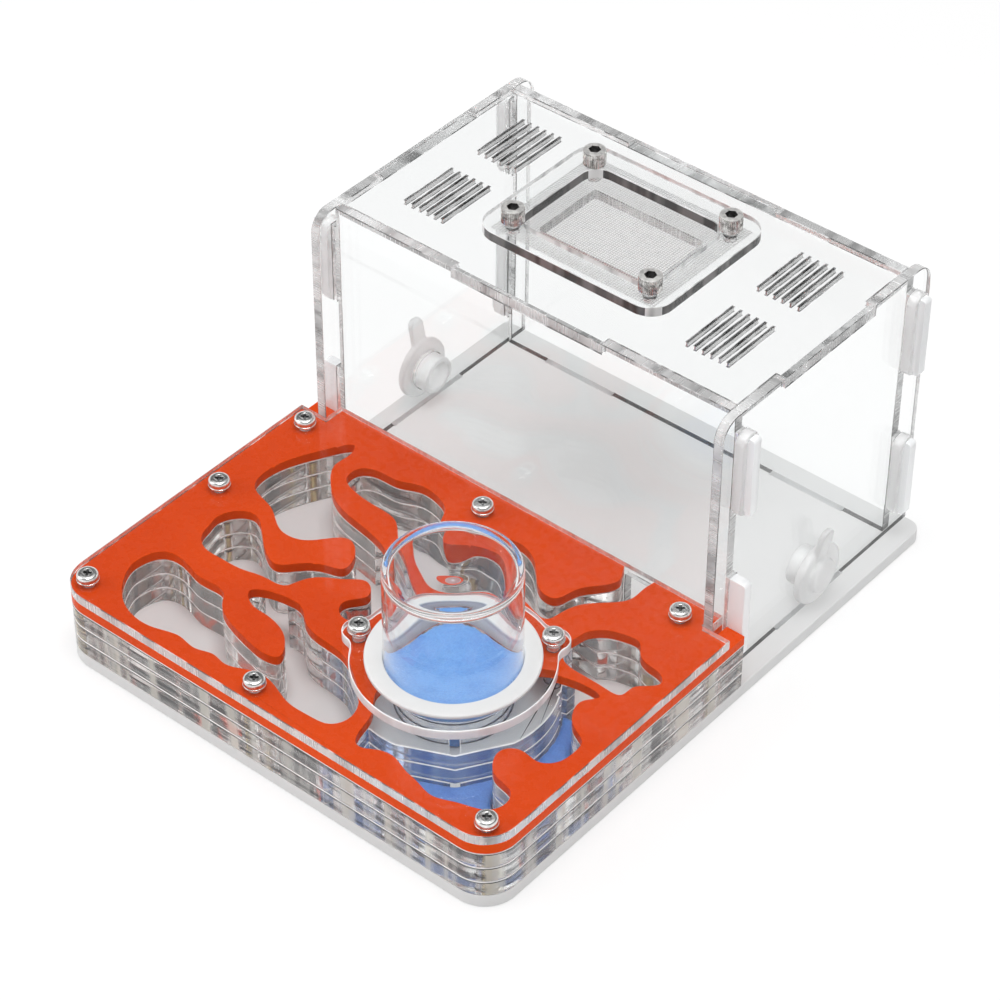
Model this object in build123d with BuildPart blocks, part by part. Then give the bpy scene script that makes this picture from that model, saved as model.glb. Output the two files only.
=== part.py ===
from build123d import *
from math import cos, radians, sin
import os

# An ant habitat. The nest is a stack of clear layers under a coloured frame plate and a clear
# cover, with a round water tower on it. Behind it stands the arena, a clear box with a screened
# hatch and two side ports. Both stand on one base plate.
# X runs along the nest's long side, +Y from the nest to the arena and +Z up, in millimetres.
# The origin is the middle of the base plate's underside.

# ---- Driving dimensions: plates
nest_width = 150.0
nest_depth = 103.0
arena_reach = 84.0  # of the base plate, behind the nest
base_thickness = 4.0
layer_thickness = 5.0
layer_names = ("lower", "middle", "upper")
frame_thickness = 3.0
cover_thickness = 3.0
front_corner = 10.0
back_corner = 4.0
panel = 3.0  # sheet thickness of the arena
wall_inset = 6.0  # from the base plate's edge to a side wall
wall_lead = 6.5  # that the side walls reach past the front and back walls
wall_height = 89.0
wall_corner = 6.0
fit = 0.1  # gap between a tab and its slot
slide_fit = 0.08  # gap round a piece that pulls out

# ---- Driving dimensions: tabs and lock rings
side_tab_height = 25.0  # of the front and back walls, through the side walls
side_tab_reach = 5.0
lower_tab_rise = 9.5  # from the base plate to the lower tabs
upper_tab_rise = 58.0
tab_notch = 1.2
tab_round = 1.0
ring_length = 3.0
ring_wall = 1.8
ring_gap = 0.05
ring_round = 3.0
top_tab_width = 50.0
top_tab_depth = 39.0
base_tab_width = 25.0
base_tab_offset = 39.5
front_tabs_at = (-39.5, 0.0)  # base tabs of the front wall, clear of the doorway
side_base_tab = 30.0

# ---- Driving dimensions: doorway, ports, vents and hatch
port_radius = 5.8
port_rise = 11.0  # from the base plate to the port's centre
vent_length = 19.5
vent_width = 0.6
vent_pitch = 2.6
vents_per_group = 6
vent_spread_x = 95.0
vent_spread_y = 30.2
roof_setback = 1.0  # of the vents and the hatch, behind the arena's middle
roof_window_width = 37.0
roof_window_depth = 23.5
roof_window_corner = 1.0
hatch_width = 61.5
hatch_depth = 50.0
hatch_thickness = 3.0
hatch_corner = 7.0
hatch_border = 8.25  # of the hatch's plate, round its window
hatch_window_corner = 5.5
mesh_margin = 3.4  # from the plate's edge to the mesh
mesh_corner = 4.0
mesh_thickness = 0.5
mesh_gap = 1.9  # side of one opening of the mesh
mesh_pitch = 2.75
seat_gap = 0.1  # under a piece that lifts off its seat

# ---- Driving dimensions: screws
screw_radius = 1.5
screw_play = 0.15  # in a plate's screw hole
screw_grip = 6.0  # of a nest screw in its insert
head_radius = 3.0
head_height = 2.0
head_round = 0.8
washer_radius = 3.1
washer_thickness = 0.5
insert_radius = 2.1
insert_play = 0.05
insert_bore = 9.0
cross_width = 0.7
cross_length = 3.4
cross_depth = 1.0
hatch_screw_inset = 7.8  # from the plate's edges to a screw's axis
hatch_screw_radius = 1.6
hatch_head_radius = 3.2
hatch_head_height = 4.5
hatch_head_chamfer = 0.3
socket_width = 3.0  # across the flats
socket_depth = 2.0

# ---- Driving dimensions: water tower
flange_radius = 27.0
flange_thickness = 3.0
ear_radius = 4.6
ear_reach = 26.6  # from the tower's axis to a screw
ear_angles = (55.0, 197.0)
ear_blend = 4.0
tube_radius = 18.6
tube_wall = 2.0
tube_round = 0.3
tube_rise = 34.7  # above the cover
lid_thickness = 3.0
lid_drop = 0.2
lid_gap = 0.02
gasket_width = 4.4
gasket_thickness = 1.3
gasket_round = 0.5
well_radius = 15.5
island_radius = 28.0
island_facet_reach = 26.9
island_facet_angles = (-32.5, -65.0)
frame_hole = 20.0
sponge_rise = 2.0  # top of the tower's sponge above the cover
sponge_gap = 0.3
feed_angle = -48.75  # of the water slot from the well to the wet chamber
feed_width = 2.5

# ---- Driving dimensions: port plugs
plug_flange_radius = 9.3
plug_flange_thickness = 2.5
plug_round = 0.8
plug_depth = 7.0  # from the wall's outer face to the plug's inner end
plug_bore = 4.1
plug_boss_radius = 5.0  # of the raised middle of the plug's outer face
plug_boss_height = 1.8
plug_boss_round = 0.6
grip_width = 5.0
grip_length = 7.0  # above the plug's flange
grip_thickness = 1.8
grip_lean = 2.2
grip_flat = 0.4  # left straight at the middle of the grip's tip

# ---- The nest's drawing: its chambers, and where the screws, the tower and the doorway are
drawn_width = 150.0
drawn_depth = 103.0
tower_drawn = (101.4, 43.3)
door_drawn = (110.3, 118.8)
nest_screws_drawn = [
    (6.3, 6.3), (67, 5.5), (143.7, 6.3), (6.3, 56.5), (6.3, 91), (67.5, 95), (134, 96),
]
passages_drawn = [  # between the chambers, under the frame plate: start, end and width
    ((47.5, 32), (42.5, 42), 8), ((53, 65), (60, 76), 7), ((104, 77), (124, 75), 7),
    ((131, 68), (131, 56), 11),
]
front_chamber = [
    (10, 24), (15, 29.3), (19, 29.2), (27, 27.3), (36, 26.7), (38.5, 23.5), (44, 20),
    (54, 17.3), (60, 16.7), (63.6, 18.2), (62.5, 21.5), (57.5, 26), (50, 27.8), (44.5, 28.4),
    (40.7, 32), (44, 34.7), (49, 36), (55, 36), (60, 32.3), (66, 30.4), (76, 29.3), (84, 24.4),
    (91, 18.2), (92.5, 13), (90.5, 8.7), (84, 7.2), (77, 7.3), (69, 10), (62.5, 10.2), (54.5, 7.3),
    (50, 8), (45, 6.6), (39, 7.3), (31, 5.3), (23, 5.4), (15.5, 9.5), (10.3, 17),
]
left_chamber = [
    (14, 45.5), (14.6, 50.8), (20, 55), (26, 52), (33, 46), (38.5, 44), (43.5, 48.3), (49, 52),
    (53.8, 54.3), (53.5, 58), (46.7, 63.8), (42, 60), (37.5, 55.6), (31, 54.7), (22, 60),
    (12.5, 63.8), (10.8, 70), (13, 79.5), (17.3, 88), (22.2, 93.8), (23.6, 90.5), (23.3, 85),
    (27.5, 78), (35, 72.6), (48, 69.8), (57, 67), (66, 61.5), (73.5, 56.5), (75, 50.5),
    (72.5, 44), (68, 40), (64, 41), (62.5, 44.5), (65.8, 50.5), (62, 54.3), (57, 51.5),
    (51, 47.5), (48, 43), (46.5, 39.5), (40, 38.2), (33, 36.6), (26, 36.2), (19, 36.8),
    (15.5, 40),
]
back_chamber = [
    (29, 84.5), (30.5, 88.5), (35, 90.1), (41, 90.5), (46.5, 92.8), (53, 92.6), (58.5, 89.8),
    (60.8, 85.5), (62.5, 83.3), (67, 85.5), (75, 90), (84, 92), (89.5, 89.8), (95, 84.5),
    (100, 80.9), (103.7, 81.2), (106, 87.3), (110, 93), (112.4, 98), (110.5, 102), (110, 106),
    (119.5, 106), (119.5, 100), (119.3, 94), (115, 88.5), (110.5, 83.5), (108.6, 78),
    (107.5, 74), (100, 75), (92, 75.8), (82, 71), (74, 66.5), (66, 67.5), (57, 72.4),
    (51, 77.8), (45, 78.6), (35, 79.5), (30.5, 81.3),
]
right_chamber = [
    (118.8, 77.3), (123, 81), (127, 82.3), (131, 82.5), (134.5, 78.8), (139, 77.1), (143, 76.3),
    (144.9, 74), (143, 71), (140.4, 68), (139.8, 64), (135, 63.3), (126, 63.4), (120.5, 64.6),
    (117.5, 70), (118, 74.5),
]
wet_chamber = [
    (104, 8.4), (99.6, 7.7), (97.2, 13), (95.8, 18), (92.5, 23.5), (93, 30), (101, 40), (112, 50),
    (118.5, 56.5), (125, 59.8), (136, 59.3), (133.7, 56), (134, 52), (138, 47.2), (142.8, 44.3),
    (143.6, 40), (142.6, 35), (139, 32), (132.5, 32.2), (129.2, 29), (130, 25), (134, 21.3),
    (140.2, 19.5), (141.9, 15.5), (140.5, 11.8), (132.5, 8.2), (126, 6), (120, 7.4), (116, 8.2),
]

# ---- Places worked out from the dimensions
layer_count = len(layer_names)
total_depth = nest_depth + arena_reach
left_x = -nest_width / 2
front_y = -total_depth / 2
back_y = total_depth / 2
nest_back = front_y + nest_depth
frame_bottom = base_thickness + layer_count * layer_thickness
cover_bottom = frame_bottom + frame_thickness
cover_top = cover_bottom + cover_thickness
flange_top = cover_top + flange_thickness
arena_top = base_thickness + wall_height
top_bottom = arena_top - panel
side_outer = nest_width / 2 - wall_inset
side_inner = side_outer - panel
front_wall_near = nest_back + fit
front_wall_far = front_wall_near + panel
back_wall_far = back_y - wall_lead
back_wall_near = back_wall_far - panel
wall_start = front_wall_near - wall_lead
arena_y = (front_wall_far + back_wall_near) / 2
roof_y = arena_y + roof_setback
tab_bottoms = (base_thickness + lower_tab_rise, base_thickness + upper_tab_rise)
tab_end = side_outer + side_tab_reach
port_z = base_thickness + port_rise
mesh_bottom = arena_top + seat_gap
hatch_bottom = mesh_bottom + mesh_thickness + seat_gap
hatch_top = hatch_bottom + hatch_thickness
hatch_window_width = hatch_width - 2 * hatch_border
hatch_window_depth = hatch_depth - 2 * hatch_border
mesh_width = hatch_width - 2 * mesh_margin
mesh_depth = hatch_depth - 2 * mesh_margin
stretch_x = nest_width / drawn_width
stretch_y = nest_depth / drawn_depth
tube_inner = tube_radius - tube_wall
tube_bottom = frame_bottom + seat_gap
tube_top = cover_top + tube_rise


def on_nest(u, v):
    """Place of a drawn point on the nest."""
    return (left_x + u * stretch_x, front_y + v * stretch_y)


tower_axis = on_nest(*tower_drawn)
door_left, door_right = (left_x + u * stretch_x for u in door_drawn)
nest_screws_at = [on_nest(u, v) for u, v in nest_screws_drawn]
tower_screws_at = [
    (
        tower_axis[0] + ear_reach * cos(radians(angle)),
        tower_axis[1] + ear_reach * sin(radians(angle)),
    )
    for angle in ear_angles
]
screws_at = nest_screws_at + tower_screws_at
hatch_screws_at = [
    (
        side * (hatch_width / 2 - hatch_screw_inset),
        roof_y + end * (hatch_depth / 2 - hatch_screw_inset),
    )
    for side in (-1, 1)
    for end in (-1, 1)
]

dry_chambers = [front_chamber, left_chamber, back_chamber, right_chamber]

os.makedirs("parts", exist_ok=True)


def finish(piece, name):
    """Label a finished piece and write it."""
    piece.part.label = name
    export_step(piece.part, f"parts/{name}.step")


def block(x0, x1, y0, y1, mode=Mode.ADD):
    """A rectangle of a sketch, from its sides."""
    with Locations(((x0 + x1) / 2, (y0 + y1) / 2)):
        Rectangle(x1 - x0, y1 - y0, mode=mode)


def outline(points, mode=Mode.SUBTRACT):
    """One smooth closed outline of the nest's drawing, cut or added."""
    with BuildLine() as edge:
        Spline(*[on_nest(u, v) for u, v in points], periodic=True)
    make_face(edge.line, mode=mode)


def circles(places, radius, mode=Mode.SUBTRACT):
    """Equal circles of a sketch."""
    with Locations(*places):
        Circle(radius, mode=mode)


def nest_plan(foot_end):
    """The nest's outer shape, cut where the feet of the side walls stand in it."""
    with BuildSketch() as plan:
        block(left_x, -left_x, front_y, nest_back)
        fillet(plan.vertices().group_by(Axis.Y)[0], front_corner)
        for side in (-1, 1):
            near, far = sorted((side * (side_inner - fit), side * foot_end))
            block(near, far, wall_start - fit, nest_back, Mode.SUBTRACT)
    return plan.sketch


def island_plan():
    """The island of the clear layers under the tower, with two flat facets to the front."""
    with BuildSketch() as plan:
        circles([tower_axis], island_radius, Mode.ADD)
        for angle in island_facet_angles:
            with Locations(Location((*tower_axis, 0), (0, 0, angle))):
                with Locations((island_facet_reach, 0)):
                    Rectangle(
                        island_radius, 2 * island_radius,
                        align=(Align.MIN, Align.CENTER), mode=Mode.SUBTRACT,
                    )
    return plan.sketch


def wet_plan():
    """The wet chamber's open floor: its outline without the island."""
    with BuildSketch() as plan:
        outline(wet_chamber, Mode.ADD)
        add(island_plan(), mode=Mode.SUBTRACT)
    return plan.sketch


# ---- Base plate, with through slots for the tabs of the four walls
with BuildPart() as base_plate:
    with BuildSketch() as plan:
        Rectangle(nest_width, total_depth)
        fillet(plan.vertices().group_by(Axis.Y)[0], front_corner)
        fillet(plan.vertices().group_by(Axis.Y)[-1], back_corner)
        for side in (-1, 1):
            with Locations((side * (side_inner + side_outer) / 2, arena_y)):
                Rectangle(panel + 2 * fit, side_base_tab + 2 * fit, mode=Mode.SUBTRACT)
            with Locations((side * base_tab_offset, back_wall_near + panel / 2)):
                Rectangle(base_tab_width + 2 * fit, panel + 2 * fit, mode=Mode.SUBTRACT)
        for x in front_tabs_at:
            with Locations((x, front_wall_near + panel / 2)):
                Rectangle(base_tab_width + 2 * fit, panel + 2 * fit, mode=Mode.SUBTRACT)
    extrude(amount=base_thickness)
finish(base_plate, "base_plate")

# ---- The clear layers, each with the chambers and the passages between them cut through
for level, layer_name in enumerate(layer_names):
    with BuildPart() as layer:
        with BuildSketch(Plane.XY.offset(base_thickness + level * layer_thickness)):
            add(nest_plan(side_outer + fit))
            add(wet_plan(), mode=Mode.SUBTRACT)
            for chamber in dry_chambers:
                outline(chamber)
            circles([tower_axis], well_radius)
            circles(screws_at, insert_radius + fit)
            if level == 0:
                with Locations(Location((*tower_axis, 0), (0, 0, feed_angle))):
                    Rectangle(
                        island_radius, feed_width,
                        align=(Align.MIN, Align.CENTER), mode=Mode.SUBTRACT,
                    )
            for start, end, width in passages_drawn:
                with BuildLine() as way:
                    Line(on_nest(*start), on_nest(*end))
                trace(way.line, width, mode=Mode.SUBTRACT)
        extrude(amount=layer_thickness)
    finish(layer, f"layer_{layer_name}")

# ---- Coloured frame plate, open over the chambers and round the tower's island
with BuildPart() as nest_frame:
    with BuildSketch(Plane.XY.offset(frame_bottom)):
        add(nest_plan(side_outer + fit))
        for chamber in dry_chambers + [wet_chamber]:
            outline(chamber)
        circles([tower_axis], frame_hole)
        circles(screws_at, screw_radius + screw_play)
    extrude(amount=frame_thickness)
finish(nest_frame, "nest_frame")

# ---- Clear cover, cut away at its back corners for the side walls
with BuildPart() as nest_cover:
    with BuildSketch(Plane.XY.offset(cover_bottom)):
        add(nest_plan(-left_x))
        circles([tower_axis], tube_radius + slide_fit)
        circles(screws_at, screw_radius + screw_play)
    extrude(amount=cover_thickness)
finish(nest_cover, "nest_cover")

# ---- Threaded inserts in the layers, one under each screw
with BuildPart() as nest_inserts:
    with BuildSketch(Plane.XY.offset(base_thickness)):
        circles(screws_at, insert_radius, Mode.ADD)
    extrude(amount=layer_count * layer_thickness)
    with BuildSketch(Plane.XY.offset(frame_bottom)):
        circles(screws_at, screw_radius + insert_play, Mode.ADD)
    extrude(amount=-insert_bore, mode=Mode.SUBTRACT)
finish(nest_inserts, "nest_inserts")


def pan_screws(places, seat, name):
    """Pan-head cross-recess screws and their washers, standing on one seat."""
    head_seat = seat + washer_thickness
    with BuildPart() as screws:
        with BuildSketch(Plane.XY.offset(head_seat)):
            circles(places, head_radius, Mode.ADD)
        extrude(amount=head_height)
        fillet(screws.edges().group_by(Axis.Z)[-1], head_round)
        with BuildSketch(Plane.XY.offset(head_seat + head_height)):
            with Locations(*places):
                Rectangle(cross_length, cross_width)
                Rectangle(cross_width, cross_length)
        extrude(amount=-cross_depth, mode=Mode.SUBTRACT)
        with BuildSketch(Plane.XY.offset(head_seat)):
            circles(places, screw_radius, Mode.ADD)
        extrude(amount=-(head_seat - frame_bottom + screw_grip))
    finish(screws, f"{name}_screws")
    with BuildPart() as washers:
        with BuildSketch(Plane.XY.offset(seat)):
            circles(places, washer_radius, Mode.ADD)
            circles(places, screw_radius + insert_play)
        extrude(amount=washer_thickness)
    finish(washers, f"{name}_washers")


pan_screws(nest_screws_at, cover_top, "nest")
pan_screws(tower_screws_at, flange_top, "tower")

# ---- Water tower: flange with two screw ears, gasket, tube and lid
with BuildPart() as tower_flange:
    with BuildSketch(Plane.XY.offset(cover_top)) as plan:
        with Locations(Location((*tower_axis, 0), (0, 0, ear_angles[0]))):
            Circle(flange_radius)
        for (x, y), angle in zip(tower_screws_at, ear_angles):
            with Locations(Location((x, y, 0), (0, 0, angle + 180))):
                Circle(ear_radius)
        fillet(plan.vertices(), ear_blend)
        circles([tower_axis], tube_radius + slide_fit)
        circles(tower_screws_at, screw_radius + screw_play)
    extrude(amount=flange_thickness)
finish(tower_flange, "tower_flange")

with BuildPart() as tower_gasket:
    with BuildSketch(Plane.XY.offset(flange_top)):
        circles([tower_axis], tube_radius + gasket_width, Mode.ADD)
        circles([tower_axis], tube_radius + slide_fit)
    extrude(amount=gasket_thickness)
    fillet(tower_gasket.edges().group_by(Axis.Z)[-1].sort_by(SortBy.LENGTH)[-1], gasket_round)
finish(tower_gasket, "tower_gasket")

with BuildPart() as tower_tube:
    with BuildSketch(Plane.XY.offset(tube_bottom)):
        circles([tower_axis], tube_radius, Mode.ADD)
        circles([tower_axis], tube_inner)
    extrude(amount=tube_top - tube_bottom)
    fillet(tower_tube.edges().group_by(Axis.Z)[-1], tube_round)
finish(tower_tube, "tower_tube")

with BuildPart() as tower_lid:
    with BuildSketch(Plane.XY.offset(tube_top - lid_drop - lid_thickness)):
        circles([tower_axis], tube_inner - lid_gap, Mode.ADD)
    extrude(amount=lid_thickness)
finish(tower_lid, "tower_lid")

# ---- Sponges: a stepped plug in the well and the tube, and a sheet in the wet chamber
with BuildPart() as tower_sponge:
    with BuildSketch(Plane.XY.offset(base_thickness)):
        circles([tower_axis], well_radius - sponge_gap, Mode.ADD)
    extrude(amount=frame_bottom - base_thickness)
    with BuildSketch(Plane.XY.offset(frame_bottom)):
        circles([tower_axis], tube_inner - sponge_gap, Mode.ADD)
    extrude(amount=cover_top + sponge_rise - frame_bottom)
finish(tower_sponge, "tower_sponge")

with BuildPart() as chamber_sponge:
    with BuildSketch(Plane.XY.offset(base_thickness)):
        add(wet_plan())
    extrude(amount=layer_thickness)
finish(chamber_sponge, "chamber_sponge")

# ---- Side walls of the arena, with slots for the tabs, a port and a foot in the nest
for name, x in (("arena_left", -side_outer), ("arena_right", side_inner)):
    with BuildPart() as side_wall:
        with BuildSketch(Plane.YZ.offset(x)) as profile:
            block(wall_start, back_y, base_thickness, arena_top)
            fillet(profile.vertices().group_by(Axis.Y)[-1], wall_corner)
            with Locations((arena_y, base_thickness / 2)):
                Rectangle(side_base_tab, base_thickness)
            for near in (front_wall_near, back_wall_near):
                for bottom in tab_bottoms:
                    block(
                        near - fit, near + panel + fit,
                        bottom - fit, bottom + side_tab_height + fit, Mode.SUBTRACT,
                    )
            top_cut = top_tab_depth / 2 + fit
            block(arena_y - top_cut, arena_y + top_cut, top_bottom - fit, arena_top, Mode.SUBTRACT)
            circles([(arena_y, port_z)], port_radius)
        extrude(amount=panel)
    finish(side_wall, name)

# ---- Front and back walls: their end tabs pass through the side walls and hold the lock rings
ring_slot = ring_length + 2 * ring_gap


def end_wall(name, near, base_tabs_at, ringed, doorway):
    """A wall between the side walls; ringed lists the tabs that carry a lock ring."""
    with BuildPart() as wall:
        with BuildSketch(Plane.XZ.offset(-near - panel)) as profile:
            for bottom in tab_bottoms:
                block(-tab_end, tab_end, bottom, bottom + side_tab_height)
            fillet(profile.vertices(), tab_round)
            block(-side_inner + fit, side_inner - fit, base_thickness, arena_top)
            for bottom in ringed:
                for edge in (bottom, bottom + side_tab_height):
                    with Locations((side_outer + ring_slot / 2, edge), (-side_outer - ring_slot / 2, edge)):
                        Rectangle(ring_slot, 2 * tab_notch, mode=Mode.SUBTRACT)
            for x in base_tabs_at:
                with Locations((x, base_thickness / 2)):
                    Rectangle(base_tab_width, base_thickness)
            top_cut = top_tab_width / 2 + fit
            block(-top_cut, top_cut, top_bottom - fit, arena_top, Mode.SUBTRACT)
            if doorway:
                block(door_left, door_right, base_thickness, frame_bottom, Mode.SUBTRACT)
        extrude(amount=panel)
    finish(wall, name)


back_tabs_at = (-base_tab_offset, base_tab_offset)
end_wall("arena_front", front_wall_near, front_tabs_at, tab_bottoms[1:], doorway=True)
end_wall("arena_back", back_wall_near, back_tabs_at, tab_bottoms, doorway=False)

hole_width = panel + 2 * ring_gap
hole_height = side_tab_height - 2 * tab_notch + 2 * ring_gap
ring_centres = [(front_wall_near + panel / 2, tab_bottoms[1] + side_tab_height / 2)]
ring_centres += [(back_wall_near + panel / 2, z + side_tab_height / 2) for z in tab_bottoms]
with BuildPart() as lock_rings:
    for x in (side_outer + ring_gap, -side_outer - ring_gap - ring_length):
        with BuildSketch(Plane.YZ.offset(x)):
            with Locations(*ring_centres):
                RectangleRounded(hole_width + 2 * ring_wall, hole_height + 2 * ring_wall, ring_round)
                Rectangle(hole_width, hole_height, mode=Mode.SUBTRACT)
        extrude(amount=ring_length)
finish(lock_rings, "lock_rings")

# ---- Top panel: a tab into each wall, vents, the window under the hatch and its screw holes
with BuildPart() as arena_roof:
    with BuildSketch(Plane.XY.offset(top_bottom)):
        block(-side_inner + fit, side_inner - fit, front_wall_far + fit, back_wall_near - fit)
        block(-top_tab_width / 2, top_tab_width / 2, front_wall_near, back_wall_far)
        with Locations((0, arena_y)):
            Rectangle(2 * side_outer, top_tab_depth)
        with Locations((0, roof_y)):
            RectangleRounded(
                roof_window_width, roof_window_depth, roof_window_corner, mode=Mode.SUBTRACT
            )
            with GridLocations(vent_spread_x, vent_spread_y, 2, 2):
                with GridLocations(vent_pitch, 0, vents_per_group, 1):
                    Rectangle(vent_width, vent_length, mode=Mode.SUBTRACT)
        circles(hatch_screws_at, hatch_screw_radius + slide_fit)
    extrude(amount=panel)
finish(arena_roof, "arena_roof")

# ---- Hatch: a clear frame that holds a steel mesh over the window with four screws
with BuildPart() as hatch_mesh:
    with BuildSketch(Plane.XY.offset(mesh_bottom)):
        with Locations((0, roof_y)):
            RectangleRounded(mesh_width, mesh_depth, mesh_corner)
            across = int((mesh_width - mesh_pitch + mesh_gap) / mesh_pitch)
            along = int((mesh_depth - mesh_pitch + mesh_gap) / mesh_pitch)
            with GridLocations(mesh_pitch, mesh_pitch, across, along):
                Rectangle(mesh_gap, mesh_gap, mode=Mode.SUBTRACT)
        circles(hatch_screws_at, hatch_screw_radius + slide_fit)
    extrude(amount=mesh_thickness)
finish(hatch_mesh, "hatch_mesh")

with BuildPart() as hatch_plate:
    with BuildSketch(Plane.XY.offset(hatch_bottom)):
        with Locations((0, roof_y)):
            RectangleRounded(hatch_width, hatch_depth, hatch_corner)
            RectangleRounded(
                hatch_window_width, hatch_window_depth, hatch_window_corner, mode=Mode.SUBTRACT
            )
        circles(hatch_screws_at, hatch_screw_radius + slide_fit)
    extrude(amount=hatch_thickness)
finish(hatch_plate, "hatch_plate")

with BuildPart() as hatch_screws:
    with BuildSketch(Plane.XY.offset(hatch_top)):
        circles(hatch_screws_at, hatch_head_radius, Mode.ADD)
    extrude(amount=hatch_head_height)
    chamfer(hatch_screws.edges().group_by(Axis.Z)[-1], hatch_head_chamfer)
    with BuildSketch(Plane.XY.offset(hatch_top + hatch_head_height)):
        with Locations(*hatch_screws_at):
            RegularPolygon(socket_width / 2, 6, major_radius=False)
    extrude(amount=-socket_depth, mode=Mode.SUBTRACT)
    with BuildSketch(Plane.XY.offset(hatch_top)):
        circles(hatch_screws_at, hatch_screw_radius, Mode.ADD)
    extrude(amount=-(hatch_top - top_bottom))
finish(hatch_screws, "hatch_screws")

# ---- Port plugs: a flange with a raised middle, a hollow stub through the wall and a grip
for name, side in (("plug_left", -1), ("plug_right", 1)):
    seat_x = side * (side_outer + seat_gap)
    port = Plane((seat_x, arena_y, port_z), x_dir=(0, 1, 0), z_dir=(side, 0, 0))
    with BuildPart() as plug:
        with BuildSketch(port):
            Circle(plug_flange_radius)
        extrude(amount=plug_flange_thickness)
        fillet(plug.edges().filter_by(GeomType.CIRCLE), plug_round)
        with BuildSketch(port.offset(plug_flange_thickness / 2)):
            Circle(port_radius - slide_fit)
        extrude(amount=-plug_depth - plug_flange_thickness / 2)
        with BuildSketch(port.offset(-plug_depth)):
            Circle(plug_bore)
        extrude(amount=plug_depth, mode=Mode.SUBTRACT)
        with BuildSketch(port.offset(plug_flange_thickness)):
            Circle(plug_boss_radius)
        extrude(amount=plug_boss_height)
        boss_edge = plug.faces().sort_by(Axis.X)[-1 if side > 0 else 0].edges()
        fillet(boss_edge, plug_boss_round)
        grip_root = seat_x + side * (plug_flange_thickness - grip_thickness)
        grip_tip = grip_root + side * grip_lean
        grip_foot = port_z + plug_flange_radius / 2
        grip_top = port_z + plug_flange_radius + grip_length
        with BuildSketch(Plane.XZ.offset(-arena_y)):
            with BuildLine():
                Polyline(
                    (grip_root, grip_foot),
                    (grip_root + side * grip_thickness, grip_foot),
                    (grip_tip + side * grip_thickness, grip_top),
                    (grip_tip, grip_top),
                    close=True,
                )
            make_face()
        extrude(amount=grip_width / 2, both=True)
        fillet(plug.edges().group_by(Axis.Z)[-1].filter_by(Axis.X), grip_width / 2 - grip_flat)
    finish(plug, name)
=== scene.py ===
import logging
import math
from dataclasses import dataclass
from enum import Enum
from typing import Callable

import bmesh
import bpy
from mathutils import Matrix, Vector


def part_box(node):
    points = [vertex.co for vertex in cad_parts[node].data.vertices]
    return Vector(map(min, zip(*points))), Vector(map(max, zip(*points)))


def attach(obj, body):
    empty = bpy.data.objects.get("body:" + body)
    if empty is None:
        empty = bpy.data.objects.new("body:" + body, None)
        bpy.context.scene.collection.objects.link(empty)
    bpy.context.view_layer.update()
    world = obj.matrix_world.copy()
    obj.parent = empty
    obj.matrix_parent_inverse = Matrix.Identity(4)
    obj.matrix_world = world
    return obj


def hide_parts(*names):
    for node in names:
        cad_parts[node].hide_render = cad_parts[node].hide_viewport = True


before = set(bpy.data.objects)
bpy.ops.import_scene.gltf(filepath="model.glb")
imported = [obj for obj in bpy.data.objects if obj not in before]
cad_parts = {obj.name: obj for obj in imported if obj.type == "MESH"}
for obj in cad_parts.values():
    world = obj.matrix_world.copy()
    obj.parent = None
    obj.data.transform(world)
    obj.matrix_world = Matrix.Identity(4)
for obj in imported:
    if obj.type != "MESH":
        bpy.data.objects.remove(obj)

log = logging.getLogger("ant_habitat")

MM = 0.001
MERGE = 0.002 * MM  # points of a CAD mesh that lie closer are one point
LEVEL = math.radians(0.4)  # faces of a CAD mesh that turn less are one face
TURN_STEPS = 192  # steps of a turned piece
HUB = 0.001 * MM  # a turned profile that starts this near to the axis closes on it
CLOSE = 0.05 * MM  # play between pieces that touch, and overlap of those that are joined
ACRYLIC_IOR = 1.49

Triple = tuple[float, float, float]
FaceTest = Callable[[Vector, Vector], bool]


def grey(level: float) -> Triple:
    """A neutral colour."""
    return (level, level, level)


class Body(Enum):
    """The bodies that a piece can ride on."""

    ROOT = "root"
    TOWER = "tower"
    HATCH = "hatch"
    LEFT_PLUG = "left_plug"
    RIGHT_PLUG = "right_plug"


class Facing(Enum):
    """The direction that a sheet's two broad faces look along."""

    ACROSS = Vector((1.0, 0.0, 0.0))
    DEEP = Vector((0.0, 1.0, 0.0))
    UP = Vector((0.0, 0.0, 1.0))


class Faces:
    """Tests of a face by its normal, with the limits that tell a sheet's faces apart."""

    BROAD = 0.98
    ROUNDED = 0.96
    FLAT = 0.9
    UPRIGHT = 0.2

    @staticmethod
    def top(middle: Vector, normal: Vector) -> bool:
        """Whether the face is level and looks up."""
        return normal.z > Faces.FLAT

    @staticmethod
    def bottom(middle: Vector, normal: Vector) -> bool:
        """Whether the face is level and looks down."""
        return normal.z < -Faces.FLAT

    @staticmethod
    def cut(middle: Vector, normal: Vector) -> bool:
        """Whether the face belongs to the cut edge of a level sheet, or to the side of a round piece."""
        return abs(normal.z) < Faces.FLAT

    @staticmethod
    def upper_arris(middle: Vector, normal: Vector) -> bool:
        """Whether the face is the bevel along a level sheet's upper edge."""
        return Faces.UPRIGHT < normal.z < Faces.ROUNDED

    @staticmethod
    def lower_arris(middle: Vector, normal: Vector) -> bool:
        """Whether the face is the bevel along a level sheet's lower edge."""
        return -Faces.ROUNDED < normal.z < -Faces.UPRIGHT


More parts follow.
